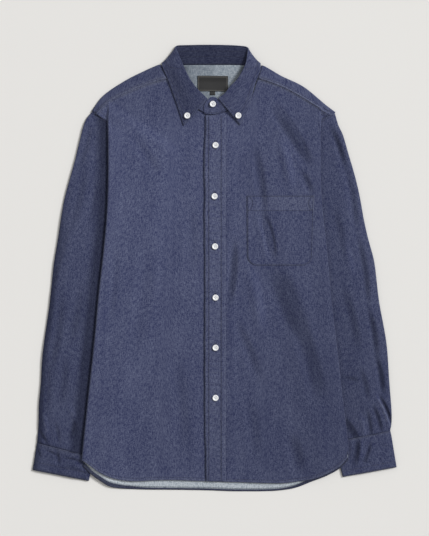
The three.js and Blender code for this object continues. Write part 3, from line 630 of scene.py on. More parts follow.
yoke = {
    "seamY": 268.0,
    "backRows": 34,
    "shoulderColumns": 30,
    "neckColumns": 46,
    "neckX": [-77.5, -62, -42, -14, 14, 40, 57, 71],
    "neckY": [353.5, 364, 365.6, 365.8, 365.8, 365.6, 364, 354.5],
    "folds": [(-58, 362, -4, 355, 4, 0.7), (-50, 356, -14, 349, 3.5, 0.4), (34, 340, 52, 356, 6, 0.6),
              (-60, 352, -36, 322, 6, 0.5)],
}


def yokeColumn(bottomX, top, seam=None):
    t = np.linspace(0, 1, yoke["backRows"] + 1)
    x = bottomX + (top[0] - bottomX) * t
    y = yoke["seamY"] + (top[1] - yoke["seamY"]) * t
    level = backLevel(x, y) - foldDrop(yoke["folds"], x, y) + 0.2 * (1 + np.sin(x / 13) * np.sin(y / 9))
    low = np.stack([x, y, np.maximum(level, cloth["lowest"])], 1)
    turn = np.radians(np.arange(20, 181, 20))
    radius = cloth["frontRise"] / 2
    out = np.zeros(2) if seam is None else np.array(seam[2:])
    high = np.stack([
        low[-1, 0] + out[0] * radius * np.sin(turn),
        low[-1, 1] + out[1] * radius * np.sin(turn),
        low[-1, 2] + radius * (1 - np.cos(turn)),
    ], 1)
    if seam is None:
        ends = np.repeat(low[-1:], 9, 0)
    else:
        share = np.linspace(0, 1, 10)[1:]
        x = low[-1, 0] + (seam[0] - low[-1, 0]) * share
        y = low[-1, 1] + (seam[1] - low[-1, 1]) * share
        z = frontLevel(np.sign(seam[0]), x, y) * share + high[-1, 2] * (1 - share)
        z = z + cloth["wall"] * ease(0.55, 0.95, share)
        ends = np.stack([x, y, z + 0.35 * np.sin(math.pi * share)], 1)
    return np.concatenate([low, high, ends])


def shoulderColumns(side):
    table = shoulders[side]
    def at(key, share):
        return float(curveAt(table["at"], table[key], share))

    columns = []
    for share in np.linspace(0, 1, yoke["shoulderColumns"]):
        low, high = max(share - 0.1, 0), min(share + 0.1, 1)
        out = np.array([at("ridgeY", low) - at("ridgeY", high), at("ridgeX", high) - at("ridgeX", low)])
        out = out / np.linalg.norm(out)
        out = -out if out[1] < 0 else out
        inset = (cloth["frontRise"] + cloth["wall"]) / 2
        top = (at("ridgeX", share) - out[0] * inset, at("ridgeY", share) - out[1] * inset)
        seam = (at("seamX", share) - 1.4 * out[0], at("seamY", share) - 1.4 * out[1], *out)
        columns.append(yokeColumn(side * (196 - 100 * share), top, seam))
    return columns


neckCut = []
for share in np.linspace(0, 1, yoke["neckColumns"]):
    place = share * (len(yoke["neckX"]) - 1)
    x = float(curveAt(range(8), yoke["neckX"], place))
    neckCut.append(yokeColumn(x, (x, float(curveAt(range(8), yoke["neckY"], place)))))
grid = np.stack(shoulderColumns(-1) + neckCut + shoulderColumns(1)[::-1], 1)
inNeck = np.zeros(grid.shape[:2], bool)
inNeck[yoke["backRows"]:, yoke["shoulderColumns"] - 1:-yoke["shoulderColumns"]] = True
x, y = grid[..., 0], grid[..., 1]
ridgeNear = (len(grid) - 1 - np.arange(len(grid)))[:, None] * np.ones(grid.shape[1])
underCollar = ease(40, 60, abs(x)) * (abs(x) < 78) * (y > 330) * ~inNeck
onInside = (np.arange(len(grid)) <= yoke["backRows"])[:, None]
# darker overall and on the wearer's right half; painted shade beside the collar and in the creases of the inside
yokePiece = sheetObject(
    "yokePanel", grid, [denim, denimInside], left=inNeck,
    seam=0.9 * fading(ridgeNear, 7), worn=0.7 * fading(ridgeNear, 3.5),
    dye=0.14 + 0.2 * (x < 0) + 0.75 * underCollar + 0.3 * foldDrop(yoke["folds"], x, y) * onInside)
dress(yokePiece, "yoke")
declareSheet(grid)
print("back and yoke made")


# The placket and the pocket

placket = {
    "y":    [300, 276, 270, 227, 184, 140, 97, 54, 11, -32, -76, -119, -162, -205, -248, -292, -335, -378, -400],
    "left": [-16, -15.6, -15.6, -17.2, -18.4, -16.9, -17.7, -17.5, -17.1,
             -16.9, -16.9, -17.2, -17.3, -17.2, -17.2, -16.7, -15.5, -15, -15],
    "right": 19.8,
    "folds": [
        (-12, 275, -2.5, 274, 2.6, 0.7), (-2.5, 274, 10.8, 282.6, 2.6, 0.8), (0.4, 257.6, 11.9, 270.2, 2.6, 0.8),
        (-2.5, 264.4, 10.8, 274, 2.4, 0.8), (-8.3, 247.1, 7, 252.9, 2.6, 0.6), (-15, 236.5, 8, 235.6, 3, 0.4),
        (-10, -11, 12, -9, 3.2, 0.7), (-10, -284, 12, -282, 3.2, 0.8), (-10, -100, 12, -104, 3, 0.4),
        (-10, 90, 12, 86, 3, 0.4), (-10, -196, 12, -192, 3, 0.45),
    ],
    "stitches": (-10.4, 12.0),
    "ripple": 0.42,
    "columns": 22,
    "pitch": 1.9,            # between rows
}


def placketLift(x, y):
    # puckers across the strip between its two lines of stitches
    wander = 0.9 * np.sin(y / 27) + 0.7 * np.sin(y / 61 + 1)
    waves = np.sin(2 * math.pi * y / 11.2 + 2.1 * wander + x * 0.05)
    waves = waves + 0.7 * np.sin(2 * math.pi * y / 6.9 - 1.4 * wander - x * 0.09)
    between = ease(-13.5, -7, x) * fading(x, 14.5, 8)
    edges = 0.4 * np.sin(2 * math.pi * y / 7.3 + 1.3 * wander) * (1 - between)
    big = 0.5 * np.sin(y / 38 + 0.6) * between - foldDrop(placket["folds"], x, y) / placket["ripple"]
    ditch = sum(0.30 * np.exp(-((x - at) / 1.1) ** 2) for at in placket["stitches"])
    return placket["ripple"] * (waves * between * (0.65 + 0.35 * np.sin(y / 45)) + edges + big) + 0.25 * between - ditch


def placketLevel(x, y):
    return frontLevel(1, x, y) + cloth["layerRise"] + 0.1 + placketLift(x, y)


top = float(frontGrids[1][0, 0, 1])
bottom = float(frontGrids[1][-1, 0, 1]) - 0.3
y = np.arange(top - 1, bottom, -placket["pitch"])[:, None]
u = np.linspace(0, 1, placket["columns"])
left = curveAt(placket["y"], placket["left"], y) + 0.3 * np.sin(y / 9.1)
right = placket["right"] + 0.3 * np.sin(y / 21 + 1)
x = left + (right - left) * u
y = y + 0 * x
placketGrid = np.stack([x, y, placketLevel(x, y)], 2)
edgeNear = np.minimum(abs(x - x[:, :1]), abs(x - x[:, -1:]))
stitchNear = np.min([abs(x - at) for at in placket["stitches"]], axis=0)
# painted shade along the lines of stitches
placketPiece = sheetObject(
    "placketStrip", placketGrid, [denim, denimInside], seam=0.6 * fading(stitchNear, 5),
    dye=broadDarkening(x, y) + 0.45 * fading(stitchNear, 2), worn=0.45 * fading(edgeNear, 2.2) + 0.16)
dress(placketPiece, "placket")
declareSheet(placketGrid)

pocket = {
    "top": 130.9,
    "bottom": 5.8,
    "left": (58.5, 59.2),    # at the top and the bottom
    "right": (179.0, 175.0),
    "corner": 18.0,
    "hem": 27.0,             # depth of the top hem
    "rise": 1.3,
}


def pocketSides(y):
    share = (pocket["top"] - y) / (pocket["top"] - pocket["bottom"])
    high = np.clip(y - pocket["bottom"], 0, pocket["corner"])
    r = pocket["corner"]
    inset = r - np.sqrt(np.maximum(r * r - (r - high) ** 2, 0))
    left = pocket["left"][0] + (pocket["left"][1] - pocket["left"][0]) * share + inset
    right = pocket["right"][0] + (pocket["right"][1] - pocket["right"][0]) * share - inset
    return left, right


def pocketLevel(x, y):
    return frontLevel(1, x, y) + pocket["rise"] + 0.12 * np.sin(x / 3.1 + y / 17) * np.exp(-((y - 104) / 6) ** 2)


straight = np.linspace(pocket["top"], pocket["bottom"] + pocket["corner"], 96)[:-1]
rounded = pocket["bottom"] + pocket["corner"] * (1 - np.cos(np.linspace(math.pi / 2, 0, 18)))
y = np.concatenate([straight, rounded])[:, None]
left, right = pocketSides(y)
x = left + (right - left) * np.linspace(0, 1, 96)
y = y + 0 * x
pocketGrid = np.stack([x, y, pocketLevel(x, y)], 2)
outline = np.concatenate([pocketGrid[:, 0], pocketGrid[-1], pocketGrid[::-1, -1]])
near = np.min(np.linalg.norm(pocketGrid[:, :, None, :2] - outline[None, None, ::2, :2], axis=3), axis=2)
fromCorner = np.minimum(abs(x - pocket["left"][0]), abs(x - pocket["right"][0]))
arc = abs(np.hypot(fromCorner / 9.5, (y - pocket["top"] + 14) / 13) - 1) * 10
hemLine = abs(y - pocket["top"] + pocket["hem"])
sewn = np.max([fading(abs(near - 1.8), 1.4), 0.8 * fading(hemLine, 1.5), fading(arc, 1.4)], axis=0)
# painted shade along the stitching, just under the top edge and in the fold troughs
pocketPiece = sheetObject(
    "pocketPatch", pocketGrid, [denim, denimInside],
    seam=0.8 * fading(near, 9) + 0.6 * fading(hemLine, 6) + 0.5 * fading(arc, 4),
    dye=broadDarkening(x, y) + 0.12 * sewn + 0.3 * fading(pocket["top"] - y, 2.6, 0.4)
    + 0.08 * foldDrop(fronts["folds"], x, y),
    worn=0.45 * fading(near, 2.5) + 0.3 * (y > pocket["top"] - pocket["hem"]) * ease(75, 120, x))
dress(pocketPiece, "pocket")
declareSheet(pocketGrid)
print("placket and pocket made")


# The sleeves and the cuffs, flattened tubes with a row of points for each ring

sleeves = {
    "height": cloth["sleeveHeight"],
    "wall": cloth["wall"],
    "pitch": 3.6,
    "low": 16,               # points across the underside
    "high": 46,              # points across the top
    "swell": 4.6,            # how much the free part of the top stands up
    "tuckIn": 4.5,           # how far the top end goes under the armhole's seam
    "cuffIn": 1.6,           # and the lower end into the cuff
    -1: {
        # painted shade: beside the body and how far, at the outer edge, and in the troughs
        "dark": {"body": 0.85, "reach": 30, "outer": 0.6, "folds": 0.2},
        "outX": [-221.4, -232, -243, -252, -261, -270, -277.2, -283, -288,
                 -292, -297, -302.4, -306.5, -310, -313, -316.4, -316.6, -319],
        "outY": [279.5, 265, 230, 194, 158, 122, 86, 50, 14, -24, -62, -98, -134, -170, -206, -240, -276, -312.5],
        "inX":  [-112, -113, -118, -125, -132, -139, -147, -154, -162,
                 -171, -178, -184, -190, -196, -202, -208, -213.6, -218.6],
        "inY":  [208, 186, 150, 118, 86, 54, 22, -10, -42, -74, -106, -138, -170, -202, -234, -265, -302, -338.5],
        "folds": [
            (-319, -291, -302, -313, 5, 2.2), (-250, -270, -262, -306, 8, 1.4), (-262, -245, -240, -300, 7, -0.9),
            (-244, -262, -222, -292, 4, 1.3), (-236, -276, -218, -304, 4, 1.0),
            (-262, 110, -300, -60, 7, 0.8), (-232, 190, -262, 60, 12, 0.9), (-275, -40, -296, -190, 12, 1.0),
            (-240, -20, -262, -140, 12, 0.9), (-300, -160, -306, -262, 7, 0.8), (-222, 262, -246, 176, 7, 0.8),
            (-268, -160, -280, -250, 11, 0.9), (-225, -100, -242, -190, 9, 0.8), (-308, -262, -300, -300, 7, -0.9),
            (-286, -280, -280, -312, 6, 1.0),
            (-236, -210, -246, -268, 9, 0.8), (-212, 160, -232, 60, 9, 0.7),
        ],
    },
    1: {
        "dark": {"body": 0.08, "reach": 9, "outer": 0.0, "folds": 0.4},
        "outX": [217.8, 223, 232.5, 243, 253, 262, 269.5, 277, 286,
                 291.6, 297, 303, 308.5, 312.5, 315.5, 317.5, 318.6, 315.6],
        "outY": [278, 258, 238, 200, 162, 125, 88, 52, 15, -22, -60, -97, -134, -170, -206, -242, -273, -291],
        "inX":  [112, 113, 118, 125, 132, 139, 147, 155, 163, 171, 179, 186, 193, 199, 205, 211, 217, 221],
        "inY":  [214, 192, 158, 124, 90, 56, 24, -8, -40, -72, -104, -136, -168, -200, -232, -262, -290, -310],
        "folds": [
            (291.5, -230, 315, -284, 4, -1.9), (297.5, -230, 318, -278, 4.5, 2.7), (286, -248, 300, -292, 6, 1.7),
            (274, -256, 281, -300, 5, 1.3),
            (235, -272, 256, -306, 8, 2.9), (236, -196, 256, -200, 6, 0.9),
            (205, 262, 235, 186, 9, 1.1), (234, 192, 256, 60, 9, 1.1), (255, 68, 277, -76, 9, 1.3),
            (276, -68, 292, -166, 9, 1.6), (291, -158, 303, -226, 8, 1.8),
            (230, -30, 258, -150, 12, 0.8),
            (262, -180, 276, -236, 9, 0.9), (212, 252, 236, 170, 8, 0.8),
            (215, 110, 234, 10, 10, 0.7), (262, -262, 270, -304, 6, -0.9), (228, 60, 250, -20, 9, -0.5),
        ],
    },
}
cuffs = {
    "height": cloth["cuffHeight"],
    "wall": 1.7,
    "pitch": 2.4,
    "low": 12,
    "high": 44,
    -1: {
        "dark": {"all": 0.58, "outer": 0.4},
        "outX": [-319.6, -321.6, -323.5, -327.4], "outY": [-313.5, -325, -339, -362],
        "inX":  [-218.9, -220.2, -221.5, -226], "inY": [-339.5, -350.5, -361, -382],
        "folds": [
            (-321, -322, -314, -336, 4, 1.1), (-268, -341, -236, -348, 3.5, 1.4), (-272, -357, -224, -369, 3.5, 1.2),
            (-283, -330, -281, -350, 5, 1.3), (-300, -328, -284, -336, 3.5, 1.1), (-256, -330, -236, -336, 3.5, 0.7),
            (-296, -348, -276, -352, 4, -0.6), (-248, -352, -236, -360, 5, -0.6),
        ],
    },
    1: {
        "dark": {"all": 0.44, "outer": 0.0},
        "outX": [316.4, 318.8, 323.6, 327.6], "outY": [-292, -304, -333, -357],
        "inX":  [221.3, 222, 225.4, 230.4], "inY": [-311, -323, -352, -374.8],
        "folds": [
            (256, -306, 250, -354, 9, 2.2), (279, -316, 268, -348, 5, 1.9), (264, -312, 260, -342, 3.5, -0.9),
            (243, -318, 240, -340, 5, 1.2), (262, -345, 280, -350, 3.5, 0.7), (300, -318, 318, -322, 4, 0.5),
            (296, -340, 300, -352, 5, 0.4),
        ],
    },
}


def ringPoints(side, outer, inner, kind, topAt, waveAt):
    # middle of the wall round one flattened ring: along the underside, round the inner fold, back over the top
    low, high = cloth["lowest"] - 0.5 + kind["wall"] / 2, kind["height"] - kind["wall"] / 2
    radius = (high - low) / 2
    width = math.hypot(inner[0] - outer[0], inner[1] - outer[1])
    dx, dy = (inner[0] - outer[0]) / width, (inner[1] - outer[1]) / width
    reach = kind["height"] / 2
    shareLow = np.linspace(reach / width, 1 - reach / width, kind["low"])
    shareHigh = 1 - reach / width - (1 - 2 * reach / width) * np.linspace(0, 1, kind["high"]) ** 0.8
    turn = np.radians([-60, -30, 0, 30, 60])
    along = np.concatenate([
        shareLow * width, width - reach + radius * np.cos(turn),
        shareHigh * width, reach - radius * np.cos(turn),
    ])
    z = np.concatenate([
        np.full(kind["low"], low), reach + radius * np.sin(turn),
        np.full(kind["high"], high), reach + radius * np.sin(turn[::-1]),
    ])
    x = outer[0] + dx * along
    y = outer[1] + dy * along
    climb = [0, 0, 0.3, 0.7, 0.95]
    onTop = np.concatenate([np.zeros(kind["low"]), climb, np.ones(kind["high"]), climb[::-1]])
    ring = np.stack([x if waveAt is None else x + waveAt(x, y), y, z + onTop * topAt(x, y, along)], 1)
    return ring[::-1] if side < 0 else ring


def tubeGrid(side, table, kind, topAt, waveAt=None):
    keys = range(len(table["outX"]))
    length = np.hypot(np.diff(table["outX"]), np.diff(table["outY"])).sum()
    rings = []
    for place in np.linspace(0, len(keys) - 1, int(length / kind["pitch"]) + 1):
        outX, outY, inX, inY = (float(curveAt(keys, table[key], place)) for key in ("outX", "outY", "inX", "inY"))
        rings.append(ringPoints(side, (outX, outY), (inX, inY), kind, topAt, waveAt))
    return np.stack(rings)


def sleeveClear(side, x, y):
    return abs(x) - abs(bodyEdge(side, y))


def sleeveTop(side):
    def top(x, y, along):
        # the free part is domed between its outer fold and the body's side
        clear = sleeveClear(side, x, y)
        free = ease(-2, 22 if side < 0 else 46, clear)
        dome = 0.35 + 0.65 * ease(0, 30, along)
        folds = 1.35 * foldDrop(sleeves[side]["folds"], x, y) + 0.8 * unevenness(x, y, 150, 1.0, side + 0.4)
        seam = (1 - ease(-318, -268, y)) * 0.62
        armhole = (1 - ease(4, 34, 281 - 0.66 * (218 - abs(x)) - y)) * 0.75
        stand = sleeves["swell"] * (1 - seam) * (1 - armhole)
        return free * (stand * dome - folds * (1 - 0.7 * armhole))
    return top


def sleeveSway(side):
    return lambda x, y: 0.8 * np.sin(y / 23 + side) * ease(10, 40, sleeveClear(side, x, y)) * ease(-285, -240, y)


def extended(table, first, last):
    # a tube's table carried on past both ends, square to its end rings
    longer = {key: np.array(table[key], float) for key in ("outX", "outY", "inX", "inY")}
    for end, inwards, reach in ((0, 1, first), (-1, -2, last)):
        across = np.array([table["inX"][end] - table["outX"][end], table["inY"][end] - table["outY"][end]], float)
        out = np.array([-across[1], across[0]]) / np.linalg.norm(across)
        down = [table[key][inwards] - table[key][end] for key in ("outX", "outY")]
        out = -out if np.dot(out, down) > 0 else out
        for axis, shift in zip("XY", out * reach):
            longer["out" + axis][end] += shift
            longer["in" + axis][end] += shift
    return longer


def cuffTop(side):
    def top(x, y, along):
        clear = sleeveClear(side, x, y)
        folds = 1.8 * foldDrop(cuffs[side]["folds"], x, y) + 0.35 * unevenness(x, y, 60, 1.0, side)
        return ease(-2, 16, clear) * (1.5 * (0.3 + 0.7 * ease(0, 14, along)) - folds)
    return top


def tubeDistances(grid, pitch):
    # from a tube's first ring, from its last one, and from its edge at the picture's left
    fromFirst = np.arange(len(grid))[:, None] * pitch + np.zeros(grid.shape[1])
    return fromFirst, fromFirst[::-1], grid[..., 0] - grid[..., 0].min(1, keepdims=True)


cuffGrids, sleeveGrids = {}, {}
for side, hand in ((-1, "Right"), (1, "Left")):
    table = sleeves[side]
    grid = tubeGrid(side, extended(table, sleeves["tuckIn"], sleeves["cuffIn"]), sleeves, sleeveTop(side),
                    sleeveSway(side))
    sleeveGrids[side] = grid
    x, y = grid[..., 0], grid[..., 1]
    topNear, endNear, outerNear = tubeDistances(grid, sleeves["pitch"])
    drop, dark = foldDrop(table["folds"], x, y), table["dark"]
    # painted shade beside the body, along the outer edge, in the fold troughs, at the end inside the cuff and on the
    # side turned from the light; paler by the armhole seam, and painted highlight on the fold ridges
    dye = broadDarkening(-200, y, 0.25) + dark["body"] * fading(sleeveClear(side, x, y), dark["reach"], 6)
    dye = dye + dark["outer"] * fading(outerNear, 13, 2) * ease(190, 20, y)
    dye = dye + dark["folds"] * np.clip(drop, -0.6, 2.4) + 0.5 * fading(endNear, 5) + sideShade(grid, 0.65, 0.2)
    made = sheetObject("sleeve" + hand, grid, [denim, denimInside], closed=True, dye=dye,
                       seam=0.9 * fading(topNear, 18) + 0.9 * fading(endNear, 22),
                       worn=0.3 * fading(topNear, 4) + 0.4 * np.clip(-drop - 0.4, 0, 1))
    dress(made, "sleeve_" + hand.lower())
    declareSheet(np.concatenate([grid, grid[:, :1]], 1))

    table = cuffs[side]
    grid = tubeGrid(side, table, cuffs, cuffTop(side))
    cuffGrids[side] = grid
    topNear, endNear, outerNear = tubeDistances(grid, cuffs["pitch"])
    drop, dark = foldDrop(table["folds"], grid[..., 0], grid[..., 1]), table["dark"]
    # darker all over; painted shade along the outer edge, in the troughs, at the lower edge and on the side turned from
    # the light
    dye = dark["all"] + dark["outer"] * fading(outerNear, 10, 2) + 0.22 * np.clip(drop, -0.6, 2)
    dye = dye + 0.35 * fading(endNear, 2.6) + sideShade(grid, 0.6, 0.2)
    made = sheetObject("cuff" + hand, grid, [denim, denim], wall=cuffs["wall"], closed=True, dye=dye,
                       seam=0.7 * fading(topNear, 8) + 0.5 * fading(endNear, 8),
                       worn=0.4 * fading(topNear, 3) + 0.3 * fading(topNear, 12, 6) + 0.5 * fading(endNear, 3))
    dress(made, "cuff_" + hand.lower())
    declareSheet(np.concatenate([grid, grid[:, :1]], 1))
print("sleeves and cuffs made")


# The collar: sections round the neck from the wearer's right to the left

collar = {
    "sections": 190,
    "standPoints": 14,       # across the stand
    "endSections": 22,       # along its buttoned end
    "rollPoints": 12,        # round the roll line
    "fallPoints": 34,        # down the fall
    "wall": 1.1,
    "turn": 0.9,             # radius of the roll line
    "swell": 1.4,
    "seamX": [-17, -31, -47, -60, -71, -78, -78, -72, -60, -42, -20, 0, 20, 40, 55, 66, 72, 73, 67, 57, 46, 32, 16],
    "seamY": [279, 287, 297, 308, 320, 334, 349, 360, 365.3, 366.3, 366.5, 366.5,
              366.5, 366.3, 365.3, 360, 349, 334, 320, 308, 297, 288, 281],
    "seamZ": [5.2, 5.4, 5.4, 5.3, 5.2, 5.0, 4.0, 3.0, 2.45, 2.45, 2.45, 2.45,
              2.45, 2.45, 2.45, 3.0, 4.0, 5.0, 5.4, 6.2, 6.9, 7.1, 7.5],
    "rollX": [-13, -22.5, -33, -44, -52, -58.5, -65, -69, -66, -46, -22, 0, 22, 42, 57, 59.5, 58.2, 55.5,
              48.5, 40, 28, 19, 7],
    "rollY": [303.5, 312.5, 323, 338, 353, 368, 384, 394.5, 399.6, 400.5, 401, 401,
              400.6, 399.6, 397.5, 391, 379, 365, 350, 337, 325, 313, 304.5],
    "rollZ": [8.6, 11.2, 12.4, 12.8, 12.4, 11.2, 9.0, 6.0, 3.0, 2.45, 2.45, 2.45,
              2.45, 2.45, 3.0, 6.0, 9.0, 11.2, 12.4, 13.0, 12.8, 11.8, 10.4],
    "edgeX": [-55.8, -64, -72.5, -81, -89, -93.6, -94.6, -92.5, -83, -52, -24, 0, 24, 48, 74, 80.5, 82.6, 83,
              79.5, 73, 66.5, 57, 46.1],
    "edgeY": [256.5, 283, 308, 332, 351, 362, 368.6, 369, 356, 351, 350, 350,
              350, 351, 355, 369, 368, 359.5, 348, 331, 308, 284, 257.5],
    "edgeZ": [5.0, 5.2, 5.6, 6.2, 7.2, 8.0, 5.6, 2.6, 0.6, 0.6, 0.6, 0.6,
              0.6, 0.6, 0.6, 2.6, 5.6, 8.0, 7.2, 6.6, 6.2, 6.0, 5.8],
    "standEnd": [             # seam and top of the buttoned end past the fall
        (16, 281, 7.2, 7, 303.3, 10.2), (8, 278.4, 6.9, 2.5, 306.6, 10.1), (0, 277, 6.7, -3, 308, 10.0),
        (-8, 276.6, 6.6, -8, 306.6, 10.3), (-14, 277, 6.6, -12.6, 302.4, 10.3), (-17.5, 279, 6.7, -16.6, 297.4, 9.8),
        (-19, 282, 6.9, -18.8, 292, 9.2),
    ],
}


def collarAt(line, place):
    return np.stack([curveAt(range(len(collar["seamX"])), collar[line + axis], place) for axis in "XYZ"], 1)


place = np.linspace(0, len(collar["seamX"]) - 1, collar["sections"])
seamPoints, rollPoints, edgePoints = (collarAt(name, place) for name in ("seam", "roll", "edge"))
up = rollPoints - seamPoints
up = up / np.linalg.norm(up, axis=1, keepdims=True)
alongNeck = np.gradient(rollPoints, axis=0)
out = np.cross(up, alongNeck)
out = out / np.linalg.norm(out, axis=1, keepdims=True)

t = np.linspace(0, 1, collar["standPoints"])[None, :, None]
standTop = rollPoints - up * 1.4
stand = seamPoints[:, None] + (standTop - seamPoints)[:, None] * t
stand[..., 2] += 0.35 * np.sin(math.pi * t[..., 0])
ends = []
for place in np.linspace(0, len(collar["standEnd"]) - 1, collar["endSections"])[1:]:
    row = [float(curveAt(range(len(collar["standEnd"])), column, place)) for column in zip(*collar["standEnd"])]
    low, high = np.array(row[:3]), np.array(row[3:])
    low[2] = float(placketLevel(np.array(low[0]), np.array(low[1]))) + 0.12 if low[0] < 14 else low[2]
    ends.append(low + (high - low) * t[0])
standGrid = np.concatenate([stand, np.stack(ends)])
fromSeam = np.arange(collar["standPoints"])
standNear = np.minimum(fromSeam, fromSeam[::-1])[None] * 2.3 + np.zeros(standGrid.shape[:2])
standPiece = sheetObject(
    "collarStand", standGrid, [denim, denim], wall=collar["wall"], seam=0.6 * fading(standNear, 6),
    worn=0.3 * fading(standNear, 2), dye=0.25 + 0.65 * ease(330, 372, standGrid[..., 1]))
dress(standPiece, "collar_stand")
declareSheet(standGrid)

turn = np.radians(np.linspace(0, 180, collar["rollPoints"]))[None, :, None]
rolled = rollPoints[:, None] + out[:, None] * collar["turn"] * (1 - np.cos(turn))
rolled = rolled + up[:, None] * collar["turn"] * np.sin(turn)
downShare = np.linspace(0, 1, collar["fallPoints"])[1:]
t = downShare[None, :, None]
fallen = rolled[:, -1:] + (edgePoints[:, None] - rolled[:, -1:]) * t
swell = collar["swell"] * ease(7, 12, rollPoints[:, 2])[:, None]
fallen[..., 2] += swell * np.sin(math.pi * np.minimum(1, t[..., 0] * 1.3))
fallGrid = np.concatenate([rolled, fallen], 1)
fallLength = np.linalg.norm(edgePoints - rollPoints, axis=1)[:, None]
fromEdge = (1 - np.concatenate([np.zeros(collar["rollPoints"]), downShare])) * fallLength
fromEnds = [np.linalg.norm(fallGrid - end, axis=2) for end in (fallGrid[:1], fallGrid[-1:])]
near = np.min([fromEdge, *fromEnds], axis=0)
x = fallGrid[..., 0]
fallPiece = sheetObject(
    "collarFall", fallGrid, [denim, denim], wall=collar["wall"], seam=0.75 * fading(near, 9, 2),
    worn=0.4 * fading(near, 2.5), dye=0.26 * fading(x, 60, -60) + 0.24 + 0.12 * ease(0, 50, x))
dress(fallPiece, "collar_fall")
declareSheet(fallGrid)
print("collar made")


# The label and its size tab, left bare

label = {
    "left": -30.6, "right": 24.4, "top": 346.7, "bottom": 318.8,
    "points": (69, 36),      # across and down
    "slant": -0.012,
    "frame": 2,              # which cell from its edge is a plain paler line
    "tab": (-8.5, 1.3, 318.4, 311.8),
    "tabPoints": (9, 7),
    "wall": 0.6,
    "rise": 1.0,             # middle over the yoke's middle
}


def patchGrid(left, right, top, bottom, columns, rows, rise, slant=0.0):
    x = np.linspace(left, right, columns)[None, :] + np.zeros((rows, 1))
    y = np.linspace(top, bottom, rows)[:, None] + slant * (x - left)
    z = backLevel(x, y) + rise + 0.25 * np.sin(x / 11 + 1) * np.sin(y / 14)
    return np.stack([x, y, z], 2)


labelGrid = patchGrid(*(label[key] for key in ("left", "right", "top", "bottom")), *label["points"],
                      label["rise"], label["slant"])
labelPiece = sheetObject("neckLabel", labelGrid, [labelCloth, labelCloth, labelEdge], wall=label["wall"])
across, down = (np.minimum(np.arange(n - 1), np.arange(n - 1)[::-1]) for n in label["points"])
framed = (np.minimum.outer(down, across) == label["frame"]).ravel()
for polygon, inFrame in zip(labelPiece.data.polygons, framed):
    polygon.material_index = 2 if inFrame else 0
dress(labelPiece, "label", slot="label_cloth")
tabGrid = patchGrid(*label["tab"], *label["tabPoints"], label["rise"])
tabPiece = sheetObject("sizeTab", tabGrid, [labelCloth, labelCloth], wall=label["wall"])
dress(tabPiece, "size_tab", slot="label_cloth")


# The buttons

button = {
    "height": 2.2,
    "dish": 1.35,            # height of the dish's floor
    "dishRise": 0.15,        # how much it climbs to the rim's foot
    "dishRings": 14,
    "rim": [(3.9, 2.0), (4.5, 2.2), (5.0, 2.1), (5.35, 1.7), (5.5, 1.1), (5.4, 0.6), (5.0, 0.15), (4.4, 0)],
    "hole": 0.75,            # radius of a hole
    "holeAt": 1.35,          # from the middle, both ways
    "holeDepth": 1.15,
    "around": 56,
    "places": {
        "button_stand": (-3.1, 294.8, 11.0, 0.3), "button_placket_1": (1.8, 221.4, None, 0.1),
        "button_placket_2": (0, 129.6, None, 0.5), "button_placket_3": (0.9, 39.6, None, 0.2),
        "button_placket_4": (1.8, -52.2, None, 0.7), "button_placket_5": (1.8, -142.2, None, 0.0),
        "button_placket_6": (1.8, -232.2, None, 0.4), "button_collar_right": (-49.1, 274.3, 8.25, 0.6),
        "button_collar_left": (42.7, 274.3, 9.2, 0.2),
    },
}


def buttonMesh(name, x, y, z, turn):
    dish = [(r, button["dish"] + button["dishRise"] * max(0, (r - 2.6) / 0.7))
            for r in np.linspace(0.25, 3.2, button["dishRings"])]
    profile = np.array(dish + button["rim"])
    n, rings = button["around"], len(profile)
    angle = 2 * math.pi * np.arange(n) / n
    px, py = profile[:, :1] * np.cos(angle), profile[:, :1] * np.sin(angle)
    off = np.hypot(abs(px) - button["holeAt"], abs(py) - button["holeAt"])
    sunk = button["holeDepth"] * fading(off, button["hole"] + 0.12, button["hole"] - 0.22)
    points = np.stack([px, py, profile[:, 1:] - sunk], 2).reshape(-1, 3)
    points = np.concatenate([[[0, 0, button["dish"]]], points])
    faces = [(0, 1 + k, 1 + (k + 1) % n) for k in range(n)]
    for a in range(1, 1 + (rings - 1) * n, n):
        faces += [(a + k, a + n + k, a + n + (k + 1) % n, a + (k + 1) % n) for k in range(n)]
    last = 1 + (rings - 1) * n
    faces.append(tuple(last + k for k in range(n))[::-1])
    c, s = math.cos(turn), math.sin(turn)
    placed = points @ np.array([[c, s, 0], [-s, c, 0], [0, 0, 1]]) + (x, y, z)
    return makeObject(name, placed, faces, [buttonWhite])


def rod(points, faces, start, end, radius, rise, sides=6, steps=4):
    # a short thread bowed up between two places, closed at both ends
    start, end = np.array(start, float), np.array(end, float)
    along = end - start
    along = along / max(np.linalg.norm(along), 1e-6)
    side = np.cross(along, (0, 0, 1))
    side = side / max(np.linalg.norm(side), 1e-6)
    over = np.cross(side, along)
    base = len(points)
    for k in range(steps + 1):
        share = k / steps
        middle = start + (end - start) * share + over * rise * math.sin(math.pi * share)
        thick = radius * (0.55 + 0.45 * math.sin(math.pi * share))
        for q in range(sides):
            angle = 2 * math.pi * q / sides
            points.append(tuple(middle + side * thick * math.cos(angle) + over * thick * math.sin(angle)))
    for k in range(steps):
        a = base + k * sides
        faces += [(a + q, a + (q + 1) % sides, a + sides + (q + 1) % sides, a + sides + q) for q in range(sides)]
    faces.append(tuple(base + q for q in range(sides))[::-1])
    faces.append(tuple(base + steps * sides + q for q in range(sides)))


